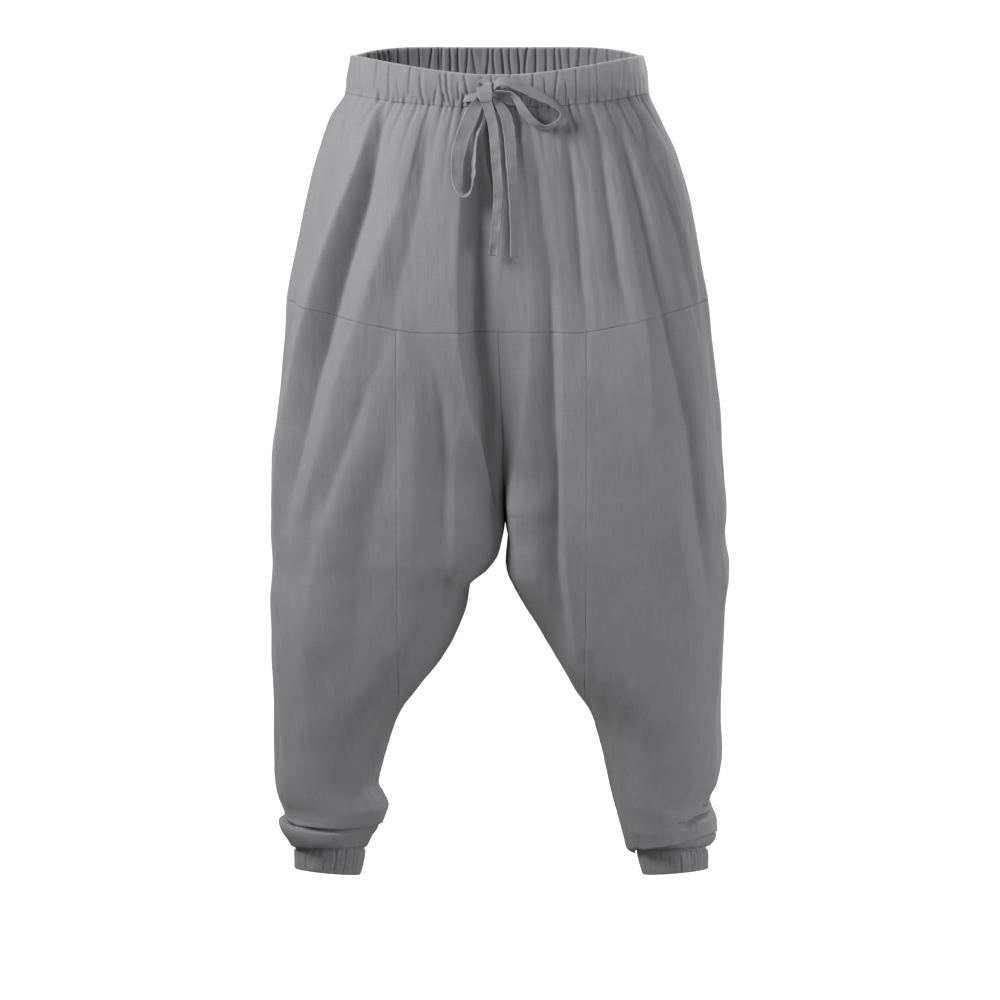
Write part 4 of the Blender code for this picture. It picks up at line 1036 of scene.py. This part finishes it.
def woven(name, colour, thread=0.62, crinkle=1.0, lift=0.03):
    """Matt woven cotton: plain weave, slubs along both threads, soft crinkles, and a painted
    highlight that lightens the colour where the edge attribute is set, beside seams and on tape edges."""
    material = bpy.data.materials.new(name)
    material.use_nodes = True
    nodes, links = material.node_tree.nodes, material.node_tree.links
    shader = nodes["Principled BSDF"]
    for setting, value in (
        ("Roughness", 0.88), ("Specular IOR Level", 0.25), ("Sheen Weight", 0.12), ("Sheen Roughness", 0.5),
    ):
        shader.inputs[setting].default_value = value

    def calc(how, a, b=None):
        made = nodes.new("ShaderNodeMath")
        made.operation = how
        for i, value in enumerate((a, b)):
            if isinstance(value, (int, float)):
                made.inputs[i].default_value = value
            elif value is not None:
                links.new(value, made.inputs[i])
        return made.outputs[0]

    def total(start, shares):
        """A start and shares of several patterns, added up."""
        for pattern, share in shares:
            start = calc("ADD", start, calc("MULTIPLY", pattern, share))
        return start

    uv = nodes.new("ShaderNodeUVMap")
    uv.uv_map = "cloth"
    split = nodes.new("ShaderNodeSeparateXYZ")
    links.new(uv.outputs[0], split.inputs[0])
    across, down = split.outputs[0], split.outputs[1]

    def streaks(scale_across, scale_down, detail):
        place = nodes.new("ShaderNodeCombineXYZ")
        links.new(calc("MULTIPLY", across, scale_across), place.inputs[0])
        links.new(calc("MULTIPLY", down, scale_down), place.inputs[1])
        made = nodes.new("ShaderNodeTexNoise")
        made.inputs["Scale"].default_value = 1.0
        made.inputs["Detail"].default_value = detail
        links.new(place.outputs[0], made.inputs["Vector"])
        return made.outputs["Fac"]

    turn = 2 * np.pi / (thread * MM)
    warp = calc("SINE", calc("MULTIPLY", across, turn))
    weft = calc("SINE", calc("MULTIPLY", down, turn))
    weave = calc("MULTIPLY", warp, weft)
    slub_down = streaks(700, 24, 3.0)
    slub_across = streaks(22, 800, 3.0)
    creases = streaks(90, 16, 4.0)
    cloud = streaks(14, 9, 2.0)
    # the edge attribute marks where the painted highlight goes
    sewn = nodes.new("ShaderNodeAttribute")
    sewn.attribute_name = "edge"

    shades = ((slub_down, 0.22), (slub_across, 0.14), (cloud, 0.12))
    uneven = [(calc("SUBTRACT", pattern, 0.5), share) for pattern, share in shades]
    # lift is the strength of the painted highlight, added to the colour where the edge attribute is set
    tone = total(1.0, uneven + [(weave, 0.03), (sewn.outputs["Fac"], lift)])
    tint = nodes.new("ShaderNodeVectorMath")
    tint.operation = "SCALE"
    tint.inputs[0].default_value = colour
    links.new(tone, tint.inputs["Scale"])
    links.new(tint.outputs[0], shader.inputs["Base Color"])

    relief = ((weave, 0.05), (slub_down, 0.16), (slub_across, 0.10), (creases, 1.3 * crinkle))
    bump = nodes.new("ShaderNodeBump")
    bump.inputs["Strength"].default_value = 1.0
    bump.inputs["Distance"].default_value = 1.0
    links.new(total(0.0, [(pattern, height * MM) for pattern, height in relief]), bump.inputs["Height"])
    links.new(bump.outputs[0], shader.inputs["Normal"])
    return material


# How far from a seam the painted highlight is brightest, and half the width of that lighter line
HIGHLIGHT_AWAY = 2.6
HIGHLIGHT_HALF = 1.5

# the tape gets a stronger painted highlight on its edges than the cloth gets beside its seams
CLOTH = woven("grey_cotton", (0.18, 0.18, 0.186))
BAND = woven("grey_cotton_ruched", (0.18, 0.18, 0.186), crinkle=0.6)
TAPE = woven("grey_cotton_tape", (0.2, 0.2, 0.206), thread=0.5, crinkle=0.5, lift=0.10)


# ---------------------------------------------------------------- pieces


def piece(name, node_name, verts, faces, material, uvs, edge):
    """A mesh in its place, riding on the garment. Edge says where a painted highlight lightens its colour."""
    mesh = bpy.data.meshes.new(name)
    mesh.from_pydata((np.asarray(verts, float) * MM).tolist(), [], faces)
    corners = np.empty(len(mesh.loops), np.int32)
    mesh.loops.foreach_get("vertex_index", corners)
    layer = mesh.uv_layers.new(name="cloth")
    layer.data.foreach_set("uv", (np.asarray(uvs)[corners] * MM).astype(np.float32).ravel())
    # the edge attribute carries the painted highlight
    mesh.attributes.new("edge", "FLOAT", "POINT").data.foreach_set("value", np.asarray(edge, np.float32))
    mesh.polygons.foreach_set("use_smooth", np.ones(len(mesh.polygons), bool))
    mesh.materials.append(material)
    obj = bpy.data.objects.new(name, mesh)
    bpy.context.scene.collection.objects.link(obj)
    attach(obj, "root")
    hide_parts(node_name)
    return obj


def quads(rows, columns, wrap=False):
    """Faces of a grid of points."""
    faces = []
    for i in range(rows - 1):
        for j in range(columns if wrap else columns - 1):
            k = (j + 1) % columns
            faces.append((i * columns + j, i * columns + k, (i + 1) * columns + k, (i + 1) * columns + j))
    return faces


def face_out(obj, out, sample):
    """Turns a panel over if one of its faces looks inward."""
    face = obj.data.polygons[sample]
    if np.dot(face.normal, out[face.vertices[0]]) < 0:
        obj.data.flip_normals()


def merged(obj, reach, closed=False):
    """Joins points that meet, and turns a closed piece's faces outward."""
    bpy.ops.object.select_all(action="DESELECT")
    obj.select_set(True)
    bpy.context.view_layer.objects.active = obj
    bpy.ops.object.mode_set(mode="EDIT")
    bpy.ops.mesh.select_all(action="SELECT")
    bpy.ops.mesh.remove_doubles(threshold=reach)
    if closed:
        bpy.ops.mesh.normals_make_consistent(inside=False)
    bpy.ops.object.mode_set(mode="OBJECT")
    obj.select_set(False)
    return obj


def thicken(obj):
    """Gives a panel its thickness, inward."""
    solid = obj.modifiers.new("thickness", "SOLIDIFY")
    solid.thickness = CLOTH_THICK * MM
    solid.offset = -1
    solid.use_even_offset = False
    solid.use_rim = True


def seam_highlight(near):
    """How much lighter the cloth is painted beside a seam: a painted highlight."""
    return bell((near - HIGHLIGHT_AWAY) / HIGHLIGHT_HALF)


def quarter(course, at):
    """A row of one quarter as (points, directions, uv, nearness of a seam)."""
    points, out, near = cloth(course, at)
    # below the yoke the threads keep their distance from the side seam
    from_side = LEG_THREADS - course.length if course.drop > YOKE_FOOT else 0.0
    uv = np.stack([(at + from_side) * SIDEWAYS[course.leg], np.full(len(at), -course.drop)], 1)
    return points, out, uv, near


def panel(name, rows):
    """A panel from its rows."""
    points, out, uvs, near = (np.concatenate([row[k] for row in rows]) for k in range(4))
    faces = quads(len(rows), len(rows[0][0]))
    obj = piece(name + "_cloth", name, points, faces, CLOTH, uvs, seam_highlight(near))
    face_out(obj, out, len(faces) // 2)
    thicken(obj)


def yoke(face):
    """Rows from the right side seam over the centre to the left one."""
    length = Course.of("r", face, YOKE_MIDDLE).length
    shares = graded(length, int(length / STEP), (False, True)) / length
    rows = []
    for drop in levels(BAND_FOOT, YOKE_FOOT, DOWN):
        right, left = (quarter(course, shares * course.length)
                       for course in (Course.of(leg, face, drop) for leg in LEGS))
        rows.append([np.concatenate([r[::-1], l[1:]]) for r, l in zip(right, left)])
    panel(face + "_yoke", rows)


def leg_panel(face, leg):
    """Rows from the gusset's seam to the side seam, folded at the ankle."""
    drops = levels(YOKE_FOOT, ANKLE, DOWN, marks=((CREASED_DROP, CREASED_REACH, CREASE_STEP),))
    for crease_leg, crease_face, row_drop, _, _, over, _ in ANKLE_CREASES:
        if (crease_leg, crease_face) == (leg, face) and over:
            # cloth that hangs over a crease needs a sharp turn there
            drops = drops[abs(drops - row_drop) > 1]
            drops = np.sort(np.append(drops, [row_drop - 0.5, row_drop + 0.5]))
    rows = []
    for drop in drops:
        course = Course.of(leg, face, drop)
        start = seam_run(course)
        rows.append(quarter(course, start + graded(course.length - start, LEG_COLUMNS)))
    panel("leg_" + face + "_" + leg, creased(leg, face, drops, rows))


def gusset(face):
    """Across the body below the yoke, forking at the crotch to a tip down each leg."""
    above = (CROTCH - CROTCH_ABOVE, CROTCH_ABOVE, CROTCH_STEP)
    below = (CROTCH + CROTCH_BELOW, CROTCH_BELOW, CROTCH_STEP)
    upper = levels(YOKE_FOOT, CROTCH, DOWN, marks=(above,))
    lower = levels(CROTCH, GUSSET_TIP, DOWN, marks=(below,))
    rows, faces = [], []
    first = 0
    for leg in LEGS:
        for drops in (upper, lower):
            for drop in drops:
                course = Course.of(leg, face, drop)
                wide = seam_run(course)
                if wide < GUSSET_NARROW:
                    at = np.linspace(0, wide, GUSSET_COLUMNS + len(SEWN_EDGE))
                else:
                    at = graded(wide, GUSSET_COLUMNS, (False, True))
                rows.append(quarter(course, at))
            for quad in quads(len(drops), len(at)):
                faces.append(tuple(first + i for i in (quad if leg == "r" else quad[::-1])))
            first += len(drops) * len(at)
    points, out, uvs, near = (np.concatenate([row[k] for row in rows]) for k in range(4))
    name = face + "_gusset"
    obj = piece(name + "_cloth", name, points, faces, CLOTH, uvs, seam_highlight(near))
    face_out(obj, out, len(faces) // 8)
    thicken(merged(obj, GUSSET_MEETS))


for face in FACES:
    yoke(face)
    for leg in LEGS:
        leg_panel(face, leg)
for face in FACES:
    gusset(face)


# ---------------------------------------------------------------- the two kinds of elastic band


def closed_band(name, rings, uvs, edge):
    """A ring of cloth whose last course is its first one again, closed to a solid casing."""
    rings, uvs, edge = rings + rings[:1], uvs + uvs[:1], edge + edge[:1]
    faces = quads(len(rings), len(rings[0]), wrap=True)
    verts, uvs, edge = np.concatenate(rings), np.concatenate(uvs), np.concatenate(edge)
    obj = piece(name + "_cloth", name, verts, faces, BAND, uvs, edge)
    return merged(obj, CLOSED_MEETS, closed=True)


def band_push(course, drop, at, inside):
    """Puffs and creases of the casing."""
    leg, face = course.leg, course.face
    x = course.point(at)[:, 0]
    push = np.zeros(len(at))
    facing = np.clip(abs(course.way(at)[:, 1]), 0.25, 1)
    for place, depth, half, lean, *drops in BAND_CREASES[face]:
        top, foot = drops or (BAND_TOP, BAND_FOOT)
        bent = 1.3 * np.sin(place + (drop - BAND_TOP) / 13)
        middle = place + lean * (drop - BAND_MIDDLE) / BAND_HIGH + bent
        show = eased((drop - top + 4) / 6) * eased((foot + 5 - drop) / 6)
        away = blunt((x - middle) / facing, 0.12, 0.3)
        push -= 1.4 * depth * show * np.exp(-1.3 * away / half)
        push += 0.45 * depth * show * bell(away / (half * 3.0))
    fine = np.array([wobble(a * SIDEWAYS[leg] / 5.0, drop / 28, 5.0) for a in at])
    wide = np.array([wobble(a * SIDEWAYS[leg] / 15.0, drop / 19, 8.0) for a in at])
    push += 0.45 * fine + 0.7 * wide
    if face == "front" and not inside:
        for place, top, foot in SLOTS:
            open_here = eased((drop - top + 1) / 2) * eased((foot + 1 - drop) / 2)
            push -= SLOT_DEEP * open_here * np.exp(-(((x - place) / SLOT_HALF) ** 4))
    return push * (-1.0 if inside else 1.0)


def band_profile():
    """Courses of the casing as (drop, lift off the band's form, whether it is inside)."""

    def swell(drop):
        return BAND_SWELL * np.sin(np.clip((drop - BAND_TOP) / BAND_HIGH, 0, 1) * np.pi)

    outside = [(d, swell(d) + 0.15 * seam_push(BAND_FOOT - d), False) for d in BAND_OUTSIDE]
    inside = [(d, -BAND_THICK - 0.8 * swell(d), True) for d in BAND_INSIDE]
    return outside + BAND_FOLD + inside


def waistband():
    """A closed casing: up the outside, over the folded edge and down the inside."""
    rings, uvs, edge = [], [], []
    for drop, lift, inside in band_profile():
        blocks = []
        for face, leg in (("front", "r"), ("front", "l"), ("back", "l"), ("back", "r")):
            course = Course.of(leg, face, np.clip(drop, BAND_TOP, BAND_FOOT))
            count = int(round(Course.of(leg, face, 0).length / BAND_STEP)) + 1
            at = np.linspace(0, 1, count) * course.length
            push = lift + band_push(course, drop, at, inside)
            if not inside:
                # the yoke's gathers run on into the foot of the band
                foot = Course.of(leg, face, BAND_FOOT)
                gathers = gather_push(foot, at / course.length * foot.length)
                push += 0.8 * eased((drop - BAND_GATHERED) / 11) * gathers
            points = course.point(at) + course.way(at) * push[:, None]
            points[:, 2] += max(BAND_TOP - drop, 0)
            down = np.full(len(at), -drop + (INSIDE_THREADS if inside else 0))
            block = (points, np.stack([at * SIDEWAYS[leg], down], 1))
            # round the waist from one side seam: each quarter starts where the last one ended
            if (face, leg) in (("front", "r"), ("back", "l")):
                block = (block[0][::-1], block[1][::-1])
            blocks.append(tuple(part[:-1] for part in block))
        rings.append(np.concatenate([points for points, _ in blocks]))
        uvs.append(np.concatenate([uv for _, uv in blocks]))
        # the courses by the band's sewn foot get a painted highlight through the edge attribute
        sewn = BAND_SEWN[0] < drop < BAND_SEWN[1]
        edge.append(np.full(len(rings[-1]), float(sewn)))
    closed_band("waistband", rings, uvs, edge)


def cuff(leg):
    """A short gathered ring: cloth over elastic, tucked up inside the leg and rolled at its foot."""
    turn = np.arange(CUFF_COLUMNS) * 2 * np.pi / CUFF_COLUMNS
    ahead = np.cos(turn)
    table = np.array(CUFFS[leg], float)
    rings, uvs, edge = [], [], []
    courses = [(*course, False) for course in CUFF_OUTSIDE] + [(*course, True) for course in CUFF_INSIDE]
    for z, lift, inside in courses:
        _, rise, lean, outer_x, inner_x, front_y, back_y = (
            np.interp(-z, -table[:, 0], table[:, i]) for i in range(len(CUFF_COLUMN_NAMES))
        )
        middle = (outer_x + inner_x) / 2
        half = abs(outer_x - inner_x) / 2
        down = (-CUFF_SEAM - z) / CUFF_HIGH
        push = np.zeros(len(turn))
        for k, (place, depth, top, foot) in enumerate(CUFF_CREASES[leg]):
            shift = 0.022 * np.sin(3.1 * k + 3 * down)
            away = blunt(np.angle(np.exp(1j * (turn - place - shift))), 0.00002, 0)
            show = eased((down - top) / 0.2 + 1) * eased((foot - down) / 0.2 + 1)
            push -= 1.5 * depth * show * np.exp(-away / 0.032)
            push += 0.35 * depth * bell(away / 0.1)
        push += np.array([0.5 * wobble(np.cos(a) * 9, np.sin(a) * 9, z / 22) for a in turn]) - 0.5
        push *= -0.6 if inside else 1.0
        push = push * (0.3 + 0.7 * eased((-z - CUFF_TUCKED) / 5)) + lift
        x = middle + (half + push) * np.sin(turn)
        y = -(np.where(ahead > 0, -front_y, back_y) + push) * ahead
        outward = (x - middle) * SIDEWAYS[leg]
        rings.append(np.stack([x, y, z - rise * y + lean * outward], 1))
        down_threads = np.full(len(turn), z + (CUFF_INSIDE_THREADS if inside else 0))
        uvs.append(np.stack([turn * CUFF_RADIUS, down_threads], 1))
        edge.append(np.zeros(len(turn)))
    closed_band("cuff_" + leg, rings, uvs, edge)


waistband()
for leg in LEGS:
    cuff(leg)
# the lamp above the waist is for the inside of the band alone
shines_on(bpy.data.objects["above"], "lit_from_above", bpy.data.objects["waistband_cloth"])


# ---------------------------------------------------------------- the drawstring


def through(points, at):
    """A soft curve through points, at runs along their straight lines."""
    run = runs(points[:, :3])
    padded = np.concatenate([[2 * points[0] - points[1]], points, [2 * points[-1] - points[-2]]])
    i = np.clip(np.searchsorted(run, at, side="right") - 1, 0, len(points) - 2)
    t = ((at - run[i]) / (run[i + 1] - run[i]))[:, None]
    a, b, c, d = (padded[i + k] for k in range(4))
    square = 2 * a - 5 * b + 4 * c - d
    cube = 3 * b - 3 * c + d - a
    return 0.5 * (2 * b + (c - a) * t + square * t * t + cube * t**3)


def tape_ring():
    """The tape's cross-section, as shares of half its width and millimetres of thickness."""
    over = [(place, thick) for place, thick in TAPE_SECTION]
    under = [(place, -thick) for place, thick in TAPE_SECTION[:0:-1]]
    return over + [(1.0, 0.0)] + under


def tape_course(points):
    """The tape's middle line, its directions across and through the tape, and its width."""
    points = np.array(points, float)
    total = runs(points[:, :3])[-1]
    line = through(points, np.linspace(0, total, max(TAPE_LEAST, int(total / TAPE_STEP))))
    for _ in range(TAPE_SMOOTHED):
        line[1:-1] = 0.25 * line[:-2] + 0.5 * line[1:-1] + 0.25 * line[2:]
    centre, turn, size = line[:, :3], np.radians(line[:, 3]), line[:, 4]
    along = unit(np.gradient(centre, axis=0))
    flat = unit(np.cross(along, np.array([0, -1.0, 0])))
    for i in range(1, len(flat)):
        if np.dot(flat[i], flat[i - 1]) < 0:
            flat[i] = -flat[i]
    wide = flat * np.cos(turn)[:, None] + np.cross(flat, along) * np.sin(turn)[:, None]
    return centre, wide, np.cross(along, wide), size


def ribbon(points, seed):
    """A flat folded tape, thicker at its two sewn edges, as (points, faces, uv, edge, middle line)."""
    centre, wide, thick, size = tape_course(points)
    at = runs(centre)
    ring = tape_ring()
    verts, uvs = [], []
    for i, along in enumerate(at):
        bow = 1.9 * wobble(along / 15, seed, 0.5)
        twist = 1.2 * wobble(along / 9, seed, 7.5)
        half = TAPE_WIDE / 2 * (size[i] + 0.05 * wobble(along / 10, seed, 3.5))
        for a, b in ring:
            verts.append(centre[i] + wide[i] * a * half + thick[i] * (b + bow * (1 - a * a) + twist * a))
            uvs.append((a * TAPE_WIDE / 2, along + TAPE_THREADS * seed))
    n = len(ring)
    faces = quads(len(at), n, wrap=True)
    faces.append(tuple(range(n))[::-1])
    faces.append(tuple(range((len(at) - 1) * n, len(at) * n)))
    # the tape's two thick edges get a painted highlight through the edge attribute
    edge = [float(abs(a) > 0.84) for a, _ in ring] * len(at)
    return verts, faces, uvs, edge, centre


def tape_piece(name, verts, faces, uvs, edge):
    obj = piece(name + "_tape", name, verts, faces, TAPE, uvs, edge)
    return merged(obj, CLOSED_MEETS, closed=True)


def knot_piece():
    """The knot: a small bundle of tape inside three turns of it."""
    bpy.ops.mesh.primitive_uv_sphere_add(segments=32, ring_count=20, radius=1)
    ball = bpy.context.object
    places = np.array([v.co for v in ball.data.vertices])
    faces = [tuple(p.vertices) for p in ball.data.polygons]
    bpy.data.objects.remove(ball, do_unlink=True)
    ridge = 1 + 0.1 * np.sin(9 * places[:, 0] + 5 * places[:, 2]) + 0.06 * np.sin(14 * places[:, 2])
    verts = list(places * ridge[:, None] * KNOT_HALF + KNOT_MIDDLE)
    uvs = list(places[:, [0, 2]] * KNOT_THREADS)
    edge = [0.0] * len(verts)
    for k, points in enumerate(KNOT):
        turn_verts, turn_faces, turn_uvs, turn_edge, _ = ribbon(points, KNOT_SEED + k)
        faces += [tuple(i + len(verts) for i in f) for f in turn_faces]
        verts += turn_verts
        uvs += turn_uvs
        edge += turn_edge
    return tape_piece("knot", verts, faces, uvs, edge)


for k, (name, points) in enumerate(TAPES.items()):
    *parts, middle = ribbon(points, RUN_SEED * k)
    tape_piece(name, *parts)
knot_piece()
